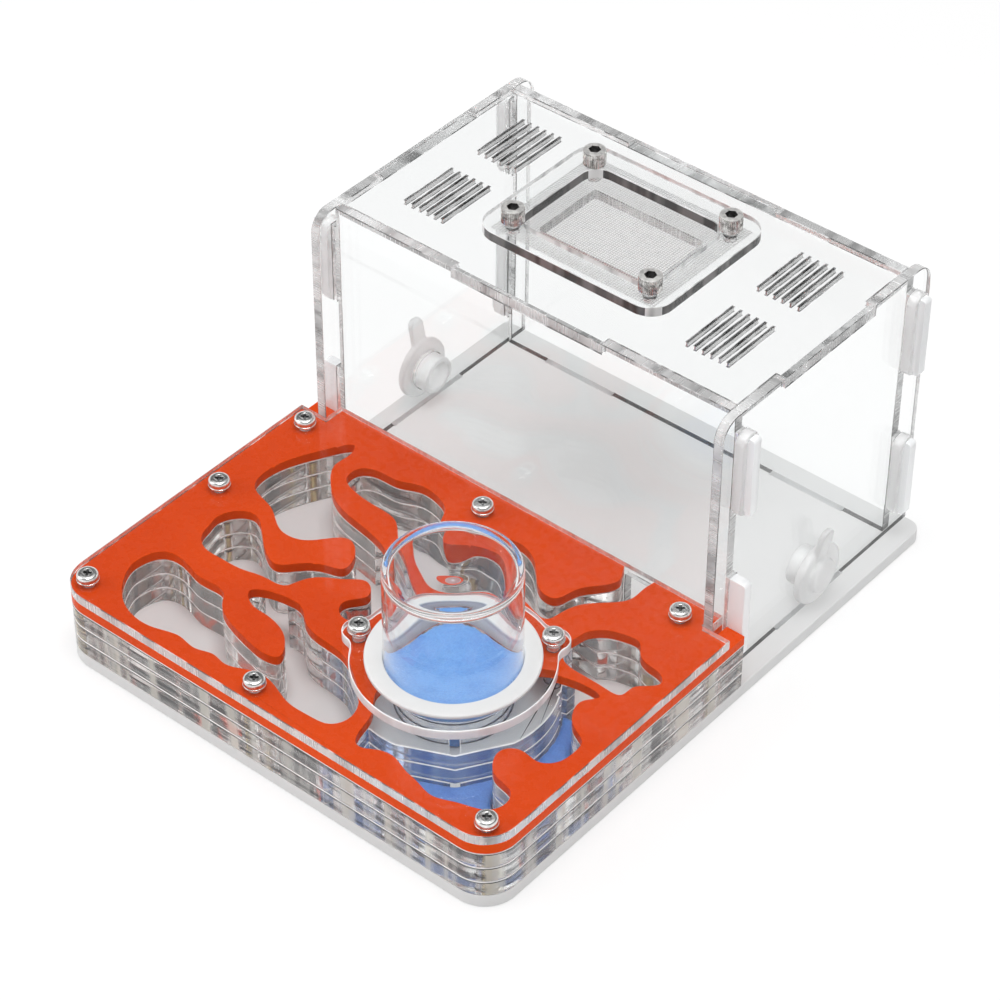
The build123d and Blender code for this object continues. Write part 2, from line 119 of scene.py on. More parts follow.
class Wiring:
    """A node tree while it is wired."""

    def __init__(self, tree: bpy.types.NodeTree) -> None:
        """Start from an empty tree.

        Args:
            tree: The tree.
        """
        self.tree = tree
        self.tree.nodes.clear()

    def link(self, start: bpy.types.NodeSocket, end: bpy.types.NodeSocket) -> None:
        """Join two sockets."""
        self.tree.links.new(start, end)

    def add(self, kind: str, **values: object) -> bpy.types.Node:
        """Add a node.

        Args:
            kind: The node's type name.
            values: Its properties, or its input sockets with _ for a space.

        Returns:
            The new node.
        """
        node = self.tree.nodes.new(kind)
        for key, value in values.items():
            if hasattr(node, key):
                setattr(node, key, value)
            else:
                node.inputs[key.replace("_", " ")].default_value = value
        return node

    def ramp(
        self, source: bpy.types.NodeSocket, stops: list[tuple[float, Triple]],
    ) -> bpy.types.NodeSocket:
        """Colours along a strength.

        Args:
            source: The strength.
            stops: The places of the colours, between 0 and 1, and the colours.

        Returns:
            The colour's socket.
        """
        ramp = self.add("ShaderNodeValToRGB")
        elements = ramp.color_ramp.elements
        for place, colour in stops:
            elements.new(place).color = (*colour, 1.0)
        elements.remove(elements[0])
        elements.remove(elements[len(elements) - 1])
        self.link(source, ramp.inputs["Fac"])
        return ramp.outputs["Color"]

    def ray_is(self, *kinds: str) -> bpy.types.NodeSocket:
        """1 for a ray of one of the kinds, and 0 for another.

        Args:
            kinds: The names of the Light Path node's outputs.

        Returns:
            The number's socket.
        """
        path = self.add("ShaderNodeLightPath")
        found = path.outputs[kinds[0]]
        for kind in kinds[1:]:
            either = self.add("ShaderNodeMath", operation="MAXIMUM")
            self.link(found, either.inputs[0])
            self.link(path.outputs[kind], either.inputs[1])
            found = either.outputs["Value"]
        return found

    def mixed(
        self, share: bpy.types.NodeSocket, first: bpy.types.NodeSocket,
        second: bpy.types.NodeSocket,
    ) -> bpy.types.NodeSocket:
        """A mix of two shaders.

        Args:
            share: The share of the second shader.
            first: The first shader.
            second: The second shader.

        Returns:
            The mixed shader's socket.
        """
        mix = self.add("ShaderNodeMixShader")
        self.link(share, mix.inputs["Fac"])
        self.link(first, mix.inputs[1])
        self.link(second, mix.inputs[2])
        return mix.outputs["Shader"]


class Graph(Wiring):
    """A material while it is wired, round one Principled shader."""

    def __init__(self, name: str) -> None:
        """Start a material with its output and its shader.

        Args:
            name: The material's name.
        """
        self.material = bpy.data.materials.new(name)
        self.material.use_nodes = True
        super().__init__(self.material.node_tree)
        self.output = self.add("ShaderNodeOutputMaterial")
        self.shader = self.add("ShaderNodeBsdfPrincipled")
        self.show(self.shader.outputs["BSDF"])

    def show(self, shader: bpy.types.NodeSocket) -> None:
        """Make a shader the material's surface."""
        self.link(shader, self.output.inputs["Surface"])

    def set(self, **values: object) -> None:
        """Set sockets of the Principled shader, with _ for a space."""
        for key, value in values.items():
            self.shader.inputs[key.replace("_", " ")].default_value = value

    def drive(self, **sources: bpy.types.NodeSocket) -> None:
        """Let patterns drive sockets of the Principled shader, with _ for a space."""
        for key, source in sources.items():
            self.link(source, self.shader.inputs[key.replace("_", " ")])

    def place(self, stretch: Triple = (1.0, 1.0, 1.0)) -> bpy.types.NodeSocket:
        """Object coordinates in millimetres, stretched.

        Args:
            stretch: The stretch along X, Y and Z.

        Returns:
            The socket that carries the coordinates.
        """
        where = self.add("ShaderNodeTexCoord")
        scaled = self.add("ShaderNodeMapping", Scale=tuple(share / MM for share in stretch))
        self.link(where.outputs["Object"], scaled.inputs["Vector"])
        return scaled.outputs["Vector"]

    def noise(
        self, scale: float, detail: float, stretch: Triple = (1.0, 1.0, 1.0),
    ) -> bpy.types.NodeSocket:
        """A cloud pattern.

        Args:
            scale: Its lumps per millimetre.
            detail: How many finer levels it has.
            stretch: The stretch of its coordinates.

        Returns:
            The socket of the pattern's strength.
        """
        pattern = self.add("ShaderNodeTexNoise", Scale=scale, Detail=detail, Roughness=0.55)
        self.link(self.place(stretch), pattern.inputs["Vector"])
        return pattern.outputs["Fac"]

    def between(
        self, source: bpy.types.NodeSocket, low: float, high: float,
        start: float = 0.3, end: float = 0.7,
    ) -> bpy.types.NodeSocket:
        """A number between two limits, by a strength.

        Args:
            source: The strength.
            low: The number at the start.
            high: The number at the end.
            start: The strength that gives the low number.
            end: The strength that gives the high number.

        Returns:
            The number's socket.
        """
        span = self.add(
            "ShaderNodeMapRange", From_Min=start, From_Max=end, To_Min=low, To_Max=high)
        self.link(source, span.inputs["Value"])
        return span.outputs["Result"]

    def bump(self, source: bpy.types.NodeSocket, height: float, strength: float) -> None:
        """Raise the surface by a pattern.

        Args:
            source: The pattern.
            height: How high it stands, in metres.
            strength: How much of it shows.
        """
        bump = self.add("ShaderNodeBump", Distance=height, Strength=strength)
        self.link(source, bump.inputs["Height"])
        self.drive(Normal=bump.outputs["Normal"])

    def let_light_in(self, tint: Triple) -> None:
        """Let shadow and diffuse rays straight through the surface.

        Args:
            tint: The colour of what passes.
        """
        clear = self.add("ShaderNodeBsdfTransparent", Color=(*tint, 1.0))
        passing = self.ray_is("Is Shadow Ray", "Is Diffuse Ray")
        self.show(self.mixed(passing, self.shader.outputs["BSDF"], clear.outputs["BSDF"]))

    def whiten(self, share: float) -> None:
        """Mix plain white into what the camera sees of the surface, also in glass and mirrors.

        Args:
            share: The share of white.
        """
        seen = self.ray_is("Is Camera Ray", "Is Glossy Ray", "Is Transmission Ray")
        part = self.add("ShaderNodeMath", operation="MULTIPLY")
        part.inputs[1].default_value = share
        self.link(seen, part.inputs[0])
        white = self.add("ShaderNodeEmission", Color=(1.0, 1.0, 1.0, 1.0), Strength=1.0)
        self.show(self.mixed(
            part.outputs["Value"], self.shader.outputs["BSDF"], white.outputs["Emission"]))


@dataclass(frozen=True)
class ClearFace:
    """The polished face of clear acrylic, with faint smears on it."""

    name: str = "clear acrylic face"
    tint: Triple = (0.985, 0.99, 0.99)
    gloss: float = 0.12

    def build(self) -> bpy.types.Material:
        """Make the material."""
        g = Graph(self.name)
        g.set(
            Base_Color=(*self.tint, 1.0), IOR=ACRYLIC_IOR, Transmission_Weight=1.0,
            Specular_Tint=(*grey(self.gloss), 1.0),
        )
        g.drive(Roughness=g.between(g.noise(0.05, 3.0), 0.0, 0.02))
        g.let_light_in((0.97, 0.975, 0.975))
        return g.material


@dataclass(frozen=True)
class ClearEdge:
    """The laser-cut edge of clear acrylic, with pale and dark streaks that run through the sheet.

    Attributes:
        name: The material's name.
        pale: The colour of the pale streaks.
        dark: The colour of the dark streaks.
        dark_share: The pattern's strength below which a streak is dark, so more is darker.
        clearness: How much light passes the streaks.
        dark_clearness: How much passes the dark ones, where it is less.
        along: The stretch of the streaks, small along the axis that they run along.
        streak: The streaks per millimetre, before they are stretched.
        fade: How far a streak fades into the next, on its dark and its pale side.
        grain: The fine grooves per millimetre, before they are stretched.
        depth: How deep the grooves are.
        satin: The roughness of the clearest and the dullest places.
        stripe: The colour of fine level lines over the pale streaks, if there are any.
        stripe_grain: Those lines per millimetre.
    """

    name: str
    pale: Triple
    dark: Triple
    dark_share: float = 0.42
    clearness: float = 0.92
    dark_clearness: float = 1.0
    along: Triple = (1.0, 1.0, 0.06)
    streak: float = 0.16
    fade: tuple[float, float] = (0.06, 0.08)
    grain: float = 2.4
    depth: float = 0.02 * MM
    satin: tuple[float, float] = (0.04, 0.16)
    stripe: Triple | None = None
    stripe_grain: float = 0.9

    def build(self) -> bpy.types.Material:
        """Make the material."""
        g = Graph(self.name)
        g.set(IOR=ACRYLIC_IOR, Transmission_Weight=self.clearness)
        wide = g.noise(self.streak, 2.0, self.along)
        fine = g.noise(self.grain, 2.0, self.along)
        turn = (self.dark_share - self.fade[0], self.dark_share + self.fade[1])
        tint = g.ramp(wide, [(turn[0], self.dark), (turn[1], self.pale)])
        if self.stripe is not None:
            tint = self.striped(g, tint, g.between(wide, 0.0, 1.0, *turn))
        g.drive(Base_Color=tint)
        if self.dark_clearness < self.clearness:
            g.drive(Transmission_Weight=g.between(
                wide, self.dark_clearness, self.clearness, *turn))
        g.drive(Roughness=g.between(fine, *self.satin))
        g.bump(fine, self.depth, 0.5)
        g.let_light_in(grey(0.95))
        return g.material

    def striped(
        self, g: Graph, tint: bpy.types.NodeSocket, share: bpy.types.NodeSocket,
    ) -> bpy.types.NodeSocket:
        """Lay level lines over a colour.

        Args:
            g: The material.
            tint: The colour.
            share: How much of the lines shows.

        Returns:
            The socket of the striped colour.
        """
        levels = g.noise(self.stripe_grain, 2.0, (0.03, 0.03, 1.0))
        both = g.add("ShaderNodeMix", data_type="RGBA", blend_type="MULTIPLY")
        factor, below, above, result = both.inputs[0], both.inputs[6], both.inputs[7], both.outputs[2]
        g.link(share, factor)
        g.link(tint, below)
        g.link(g.ramp(levels, [(0.42, self.stripe), (0.52, grey(1.0))]), above)
        return result


@dataclass(frozen=True)
class Opal:
    """White opal acrylic with a satin skin."""

    name: str = "white opal acrylic"
    colour: Triple = grey(0.70)

    def build(self) -> bpy.types.Material:
        """Make the material."""
        g = Graph(self.name)
        low = tuple(0.97 * c for c in self.colour)
        g.drive(
            Base_Color=g.ramp(g.noise(0.02, 3.0), [(0.3, low), (0.7, self.colour)]),
            Roughness=g.between(g.noise(0.3, 4.0), 0.28, 0.4),
        )
        g.set(Subsurface_Weight=0.15, Subsurface_Radius=(1.0, 1.0, 1.0), Subsurface_Scale=1.0 * MM)
        g.bump(g.noise(1.5, 3.0), 0.004 * MM, 0.3)
        return g.material


@dataclass(frozen=True)
class OrangeSheet:
    """Glossy orange acrylic, a little uneven in depth."""

    name: str = "orange acrylic"
    deep: Triple = (0.60, 0.050, 0.004)
    bright: Triple = (0.67, 0.062, 0.005)
    shine: float = 0.2

    def build(self) -> bpy.types.Material:
        """Make the material."""
        g = Graph(self.name)
        g.drive(
            Base_Color=g.ramp(g.noise(0.03, 3.0), [(0.3, self.deep), (0.7, self.bright)]),
            Roughness=g.between(g.noise(0.4, 4.0), 0.22, 0.34),
        )
        g.set(Specular_IOR_Level=self.shine)
        g.bump(g.noise(1.2, 2.0), 0.003 * MM, 0.3)
        return g.material


@dataclass(frozen=True)
class Silicone:
    """Translucent white silicone rubber."""

    name: str = "white silicone"
    colour: Triple = grey(0.97)
    clearness: float = 0.6

    def build(self) -> bpy.types.Material:
        """Make the material."""
        g = Graph(self.name)
        low = tuple(0.95 * c for c in self.colour)
        g.drive(
            Base_Color=g.ramp(g.noise(0.12, 3.0), [(0.3, low), (0.7, self.colour)]),
            Roughness=g.between(g.noise(0.9, 3.0), 0.34, 0.5),
        )
        g.set(
            Subsurface_Weight=0.6, Subsurface_Radius=(1.0, 1.0, 1.0), Subsurface_Scale=2.0 * MM,
            IOR=1.41, Transmission_Weight=self.clearness,
        )
        g.bump(g.noise(2.5, 3.0), 0.01 * MM, 0.4)
        g.let_light_in(grey(0.85))
        return g.material


@dataclass(frozen=True)
class Sponge:
    """Damp blue sponge with fine open cells."""

    name: str
    deep: Triple
    bright: Triple
    cells: float = 1.6
    cell_share: float = 0.35

    def build(self) -> bpy.types.Material:
        """Make the material."""
        g = Graph(self.name)
        cells = g.add("ShaderNodeTexVoronoi", Scale=self.cells)
        g.link(g.place(), cells.inputs["Vector"])
        both = g.add("ShaderNodeMath", operation="MULTIPLY_ADD")
        both.inputs[1].default_value = self.cell_share
        g.link(cells.outputs["Distance"], both.inputs[0])
        g.link(g.noise(0.12, 5.0), both.inputs[2])
        g.drive(Base_Color=g.ramp(both.outputs["Value"], [(0.35, self.deep), (0.85, self.bright)]))
        g.set(Roughness=0.75, Sheen_Weight=0.15, Subsurface_Weight=0.2, Subsurface_Scale=1.0 * MM)
        g.bump(cells.outputs["Distance"], 0.12 * MM, 0.6)
        return g.material


@dataclass(frozen=True)
class Metal:
    """A plated metal with fine tool marks."""

    name: str
    colour: Triple
    shade: Triple
    roughness: float

    def build(self) -> bpy.types.Material:
        """Make the material."""
        g = Graph(self.name)
        g.set(Metallic=1.0)
        g.drive(
            Base_Color=g.ramp(g.noise(0.7, 4.0), [(0.35, self.shade), (0.6, self.colour)]),
            Roughness=g.between(g.noise(3.0, 3.0), self.roughness * 0.7, self.roughness * 1.4),
        )
        g.bump(g.noise(4.0, 2.0), 0.006 * MM, 0.5)
        return g.material


class Bench:
    """Modelling steps that several pieces share."""

    @staticmethod
    def deselect() -> None:
        """Leave edit mode and deselect every object."""
        if bpy.context.object and bpy.context.object.mode != "OBJECT":
            bpy.ops.object.mode_set(mode="OBJECT")
        bpy.ops.object.select_all(action="DESELECT")

    @staticmethod
    def take(piece: bpy.types.Object) -> None:
        """Make a piece the only selected object."""
        Bench.deselect()
        piece.select_set(True)
        bpy.context.view_layer.objects.active = piece

    @staticmethod
    def copy_of(node: str, name: str) -> bpy.types.Object:
        """Copy a CAD node's mesh into a new piece, with its points merged and its flats whole.

        Args:
            node: The CAD node.
            name: The new piece's name.

        Returns:
            The new piece.
        """
        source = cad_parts[node]
        piece = bpy.data.objects.new(name, source.data.copy())
        bpy.context.scene.collection.objects.link(piece)
        piece.data.materials.clear()
        Bench.take(piece)
        bpy.ops.object.mode_set(mode="EDIT")
        bpy.ops.mesh.select_all(action="SELECT")
        bpy.ops.mesh.remove_doubles(threshold=MERGE)
        bpy.ops.mesh.dissolve_limited(angle_limit=LEVEL)
        Bench.close()
        return piece

    @staticmethod
    def pick(piece: bpy.types.Object, wanted: FaceTest) -> None:
        """Select the faces of a piece that pass a test, and no others.

        Args:
            piece: The piece, in edit mode.
            wanted: The test of a face's middle and normal.
        """
        bpy.ops.mesh.select_mode(type="FACE")
        bpy.ops.mesh.select_all(action="DESELECT")
        mesh = bmesh.from_edit_mesh(piece.data)
        for face in mesh.faces:
            if wanted(face.calc_center_median(), face.normal):
                face.select_set(True)
        bmesh.update_edit_mesh(piece.data)

    @staticmethod
    def pick_points(piece: bpy.types.Object, wanted: Callable[[Vector], bool]) -> None:
        """Select the points of a piece that pass a test, and no others.

        Args:
            piece: The piece, in edit mode.
            wanted: The test of a point.
        """
        mesh = bmesh.from_edit_mesh(piece.data)
        for vert in mesh.verts:
            vert.select_set(wanted(vert.co))
        mesh.select_flush(False)
        bmesh.update_edit_mesh(piece.data)

    @staticmethod
    def narrow(share: float) -> None:
        """Scale the selection towards the upright axis through the origin.

        Args:
            share: The share of its width that it keeps.
        """
        bpy.ops.transform.resize(value=(share, share, 1.0), center_override=(0.0, 0.0, 0.0))

    @staticmethod
    def shrink(piece: bpy.types.Object, play: float) -> None:
        """Move every face of a piece inwards.

        Args:
            piece: The piece.
            play: How far.
        """
        Bench.edit(piece)
        bpy.ops.mesh.select_all(action="SELECT")
        bpy.ops.transform.shrink_fatten(value=-play, use_even_offset=True)
        Bench.close()

    @staticmethod
    def split(piece: bpy.types.Object, place: Vector, normal: Vector) -> None:
        """Draw an edge round a piece where a plane meets it.

        Args:
            piece: The piece.
            place: A point of the plane.
            normal: The plane's normal.
        """
        Bench.edit(piece)
        bpy.ops.mesh.select_all(action="SELECT")
        bpy.ops.mesh.bisect(plane_co=place, plane_no=normal)
        Bench.close()

    @staticmethod
    def edit(piece: bpy.types.Object) -> None:
        """Open a piece in edit mode with nothing selected."""
        Bench.take(piece)
        bpy.ops.object.mode_set(mode="EDIT")
        bpy.ops.mesh.select_all(action="DESELECT")

    @staticmethod
    def close() -> None:
        """Leave edit mode."""
        bpy.ops.object.mode_set(mode="OBJECT")

    @staticmethod
    def modify(piece: bpy.types.Object, kind: str, **values: object) -> None:
        """Add a modifier to a piece and apply it.

        Args:
            piece: The piece.
            kind: The modifier's type.
            values: The modifier's settings.
        """
        Bench.take(piece)
        bpy.ops.object.modifier_add(type=kind)
        modifier = piece.modifiers[-1]
        for key, value in values.items():
            setattr(modifier, key, value)
        bpy.ops.object.modifier_apply(modifier=modifier.name)

    @staticmethod
    def bevel(piece: bpy.types.Object, width: float, segments: int, angle: float) -> None:
        """Round the sharp edges of a piece.

        Args:
            piece: The piece.
            width: The bevel's width.
            segments: Its steps.
            angle: The sharpness in degrees from which an edge is rounded.
        """
        Bench.modify(
            piece, "BEVEL", width=width, segments=segments, limit_method="ANGLE",
            angle_limit=math.radians(angle), use_clamp_overlap=False,
        )

    @staticmethod
    def smooth(piece: bpy.types.Object, angle: float, true_flats: bool = False) -> None:
        """Shade a piece smooth.

        Args:
            piece: The piece.
            angle: The sharpness in degrees up to which an edge is shaded smooth.
            true_flats: Keep the large flat faces quite flat beside the rounded ones.
        """
        Bench.take(piece)
        bpy.ops.object.shade_smooth_by_angle(angle=math.radians(angle))
        if true_flats:
            Bench.modify(piece, "WEIGHTED_NORMAL", keep_sharp=True, weight=100)

    @staticmethod
    def settle(piece: bpy.types.Object) -> None:
        """Put a piece's place into its mesh."""
        Bench.take(piece)
        bpy.ops.object.transform_apply(location=True, rotation=True, scale=True)

    @staticmethod
    def cylinder(
        name: str, radius: float, low: float, high: float, sides: int,
        at: tuple[float, float] = (0.0, 0.0),
    ) -> bpy.types.Object:
        """Start a piece from an upright cylinder.

        Args:
            name: The piece's name.
            radius: Its radius.
            low: The height of its lower end.
            high: The height of its upper end.
            sides: How many sides it has.
            at: Its axis.

        Returns:
            The new piece.
        """
        Bench.deselect()
        bpy.ops.mesh.primitive_cylinder_add(
            vertices=sides, radius=radius, depth=high - low,
            location=(at[0], at[1], (low + high) / 2),
        )
        piece = bpy.context.object
        piece.name = name
        Bench.settle(piece)
        return piece

    @staticmethod
    def lathe(
        name: str, profile: list[tuple[float, float]], at: tuple[float, float],
    ) -> bpy.types.Object:
        """Turn a closed profile about an upright axis.

        Args:
            name: The piece's name.
            profile: The radius and height of each corner, in order round the section.
            at: The axis.

        Returns:
            The new piece.
        """
        Bench.deselect()
        bpy.ops.mesh.primitive_plane_add(size=MM, location=(0.0, 0.0, 0.0))
        piece = bpy.context.object
        piece.name = name
        bpy.ops.object.mode_set(mode="EDIT")
        bpy.ops.mesh.select_all(action="SELECT")
        bpy.ops.mesh.merge(type="CENTER")
        bpy.ops.mesh.select_mode(type="VERT")
        bpy.ops.mesh.select_all(action="SELECT")
        here = (0.0, 0.0)
        for radius, height in profile:
            step = (radius - here[0], 0.0, height - here[1])
            if here == (0.0, 0.0):
                bpy.ops.transform.translate(value=step)
            else:
                bpy.ops.mesh.extrude_region_move(TRANSFORM_OT_translate={"value": step})
            here = (radius, height)
        bpy.ops.mesh.select_all(action="SELECT")
        bpy.ops.mesh.spin(
            steps=TURN_STEPS, angle=math.tau, center=(0.0, 0.0, 0.0), axis=(0.0, 0.0, 1.0),
            use_auto_merge=True)
        bpy.ops.mesh.select_all(action="SELECT")
        bpy.ops.mesh.remove_doubles(threshold=HUB)
        bpy.ops.mesh.normals_make_consistent(inside=False)
        Bench.close()
        piece.location = (at[0], at[1], 0.0)
        Bench.settle(piece)
        return piece

    @staticmethod
    def paint(piece: bpy.types.Object, finish: bpy.types.Material, wanted: FaceTest) -> None:
        """Give another finish to some faces of a piece.

        Args:
            piece: The piece.
            finish: The finish.
            wanted: The test of a face's middle and normal.
        """
        piece.data.materials.append(finish)
        index = len(piece.data.materials) - 1
        for polygon in piece.data.polygons:
            if wanted(polygon.center, polygon.normal):
                polygon.material_index = index

    @staticmethod
    def box(name: str, low: Vector, high: Vector) -> bpy.types.Object:
        """Start a piece from a box.

        Args:
            name: The piece's name.
            low: Its lowest corner.
            high: Its highest corner.

        Returns:
            The new piece.
        """
        Bench.deselect()
        bpy.ops.mesh.primitive_cube_add(size=1.0, location=tuple((low + high) / 2))
        piece = bpy.context.object
        piece.name = name
        piece.scale = tuple(high - low)
        Bench.settle(piece)
        return piece

    @staticmethod
    def cut(piece: bpy.types.Object, tool: bpy.types.Object) -> None:
        """Cut one piece with another and remove the cutter."""
        Bench.modify(piece, "BOOLEAN", operation="DIFFERENCE", object=tool, solver="EXACT")
        bpy.data.objects.remove(tool)

    @staticmethod
    def join(pieces: list[bpy.types.Object], name: str) -> bpy.types.Object:
        """Join pieces into the first one.

        Args:
            pieces: Two pieces or more.
            name: The joined piece's name.

        Returns:
            The joined piece.
        """
        Bench.deselect()
        for piece in pieces:
            piece.select_set(True)
        bpy.context.view_layer.objects.active = pieces[0]
        bpy.ops.object.join()
        pieces[0].name = name
        return pieces[0]

    @staticmethod
    def copies(piece: bpy.types.Object, places: list[Vector], name: str) -> bpy.types.Object:
        """Copy a piece to several places, join the copies and remove the piece.

        Args:
            piece: The piece, modelled at the origin.
            places: Where the copies go.
            name: The joined piece's name.

        Returns:
            The joined piece.
        """
        made = []
        for place in places:
            twin = bpy.data.objects.new(name, piece.data.copy())
            bpy.context.scene.collection.objects.link(twin)
            twin.location = place
            made.append(twin)
        for twin in made:
            Bench.settle(twin)
        bpy.data.objects.remove(piece)
        return Bench.join(made, name)

    @staticmethod
    def islands(node: str) -> list[tuple[Vector, Vector]]:
        """Find the separate solids of a CAD node.

        Args:
            node: The CAD node.

        Returns:
            The lowest and highest corner of each solid.
        """
        mesh = bmesh.new()
        mesh.from_mesh(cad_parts[node].data)
        bmesh.ops.remove_doubles(mesh, verts=mesh.verts, dist=MERGE)
        seen: set[bmesh.types.BMVert] = set()
        found = []
        for start in mesh.verts:
            if start in seen:
                continue
            group, queue = [], [start]
            seen.add(start)
            while queue:
                vert = queue.pop()
                group.append(vert.co.copy())
                for edge in vert.link_edges:
                    other = edge.other_vert(vert)
                    if other not in seen:
                        seen.add(other)
                        queue.append(other)
            low = Vector(min(p[i] for p in group) for i in range(3))
            high = Vector(max(p[i] for p in group) for i in range(3))
            found.append((low, high))
        mesh.free()
        return found

    @staticmethod
    def dress(
        piece: bpy.types.Object, body: Body, slot: str, finishes: list[bpy.types.Material],
        nodes: list[str],
    ) -> None:
        """Give a piece its body and its finishes, and hide the CAD nodes that it stands for.

        Args:
            piece: The piece.
            body: The body that it rides on.
            slot: The record's material slot; not used.
            finishes: Its materials.
            nodes: The CAD nodes.
        """
        piece.data.materials.clear()
        for finish in finishes:
            piece.data.materials.append(finish)
        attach(piece, body.value)
        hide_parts(*nodes)
        log.info("%s rides on %s, %d faces", piece.name, body.value, len(piece.data.polygons))

    @staticmethod
    def corner_of(point: Vector, corners: int) -> int:
        """The number of the corner of an upright round piece that a point lies on, from X."""
        return round(math.atan2(point.y, point.x) / (math.tau / corners))

    @staticmethod
    def tops_of(boxes: list[tuple[Vector, Vector]]) -> list[Vector]:
        """The middle of the top of each box."""
        return [Vector(((low.x + high.x) / 2, (low.y + high.y) / 2, high.z)) for low, high in boxes]

    @staticmethod
    def feet_of(boxes: list[tuple[Vector, Vector]]) -> list[Vector]:
        """The middle of the bottom of each box."""
        return [Vector(((low.x + high.x) / 2, (low.y + high.y) / 2, low.z)) for low, high in boxes]


@dataclass
class Finishes:
    """Every material of the habitat."""

    face: bpy.types.Material
    flat_edge: bpy.types.Material
    deep_edge: bpy.types.Material
    across_edge: bpy.types.Material
    rim: bpy.types.Material
    chamber_wall: bpy.types.Material
    wet_wall: bpy.types.Material
    arris: bpy.types.Material
    bright_line: bpy.types.Material
    dark_line: bpy.types.Material
    frosted_edge: bpy.types.Material
    vent_edge: bpy.types.Material
    hatch_edge: bpy.types.Material
    hatch_pale_edge: bpy.types.Material
    opal: bpy.types.Material
    orange: bpy.types.Material
    orange_edge: bpy.types.Material
    silicone: bpy.types.Material
    gasket: bpy.types.Material
    tower_sponge: bpy.types.Material
    chamber_sponge: bpy.types.Material
    steel: bpy.types.Material
    recess: bpy.types.Material
    nickel: bpy.types.Material
    brass: bpy.types.Material
    bright_rim: bpy.types.Material
    wire: bpy.types.Material

    @classmethod
    def mix(cls) -> "Finishes":
        """Make them all."""
        matt = {"clearness": 0.6, "satin": (0.14, 0.34), "grain": 1.1, "depth": 0.006 * MM}
        grooved = {"grain": 1.4, "depth": 0.04 * MM}
        return cls(
            face=ClearFace().build(),
            flat_edge=ClearEdge("clear acrylic edge", grey(0.92), grey(0.62), **matt).build(),
            deep_edge=ClearEdge(
                "clear acrylic long wall edge", grey(0.90), grey(0.52), along=(1.0, 0.06, 1.0),
                **matt).build(),
            across_edge=ClearEdge(
                "clear acrylic end wall edge", grey(0.90), grey(0.40), along=(0.06, 1.0, 1.0),
                **matt).build(),
            rim=ClearEdge(
                "clear acrylic nest rim", (0.99, 0.99, 0.98), (0.72, 0.69, 0.62), dark_share=0.46,
                clearness=0.95, dark_clearness=0.5, grain=2.6, depth=0.06 * MM,
                satin=(0.01, 0.08), stripe=(0.10, 0.10, 0.11)).build(),
            chamber_wall=ClearEdge(
                "clear acrylic chamber wall", (0.98, 0.98, 0.97), (0.80, 0.79, 0.76),
                dark_share=0.36, **grooved).build(),
            # Blue painted reflection of the sponge, for the chamber walls near the tower.
            wet_wall=ClearEdge(
                "clear acrylic wet chamber wall", (0.80, 0.87, 0.98), (0.34, 0.47, 0.78),
                dark_share=0.46, clearness=0.85, **grooved).build(),
            arris=ClearEdge(
                "acrylic arris", grey(0.86), grey(0.14), dark_share=0.54, clearness=0.4).build(),
            # Painted highlight for the upward bevels of the nest's layers.
            bright_line=ClearEdge("bright arris", grey(0.96), grey(0.80), clearness=0.2).build(),
            # Painted shade, near black, for lines along bevels and undersides.
            dark_line=ClearEdge("dark arris", grey(0.07), grey(0.03), clearness=0.2).build(),
            frosted_edge=ClearEdge(
                "frosted acrylic edge", (0.95, 0.96, 0.97), (0.82, 0.83, 0.84),
                clearness=0.15).build(),
            # Painted shade for the cut edges inside the roof's vents.
            vent_edge=ClearEdge("vent edge", grey(0.26), grey(0.08), clearness=0.4).build(),
            # Painted shade and painted light for the hatch plate's cut edges, chosen by the way each
            # edge faces.
            hatch_edge=ClearEdge(
                "hatch dark edge", (0.16, 0.15, 0.15), grey(0.05), dark_share=0.5,
                clearness=0.2).build(),
            hatch_pale_edge=ClearEdge(
                "hatch pale edge", grey(0.85), grey(0.42), clearness=0.2).build(),
            opal=Opal().build(),
            orange=OrangeSheet().build(),
            orange_edge=OrangeSheet(
                "orange acrylic edge", (0.68, 0.062, 0.004), (0.78, 0.076, 0.005), shine=0.05,
            ).build(),
            silicone=Silicone().build(),
            gasket=Silicone("gasket silicone", grey(0.70), clearness=0.0).build(),
            tower_sponge=Sponge(
                "blue tower sponge", (0.09, 0.24, 0.60), (0.16, 0.35, 0.72)).build(),
            chamber_sponge=Sponge(
                "blue chamber sponge", (0.07, 0.16, 0.46), (0.12, 0.25, 0.60)).build(),
            steel=Metal("zinc plate", (0.88, 0.88, 0.87), (0.66, 0.66, 0.65), 0.2).build(),
            # Painted shade: a dark metal for the walls of screw recesses and sockets.
            recess=Metal("screw recess", grey(0.20), grey(0.06), 0.35).build(),
            nickel=Metal("nickel plate", (0.80, 0.79, 0.77), (0.36, 0.35, 0.34), 0.18).build(),
            brass=Metal("brass", (0.85, 0.68, 0.32), (0.58, 0.43, 0.18), 0.22).build(),
            # Satin nickel with a painted highlight, for the upward faces of the hatch screws' heads.
            bright_rim=Metal("satin nickel", (0.88, 0.87, 0.85), (0.60, 0.59, 0.58), 0.42).build(),
            wire=Metal("steel wire", grey(0.70), grey(0.62), 0.35).build(),
        )


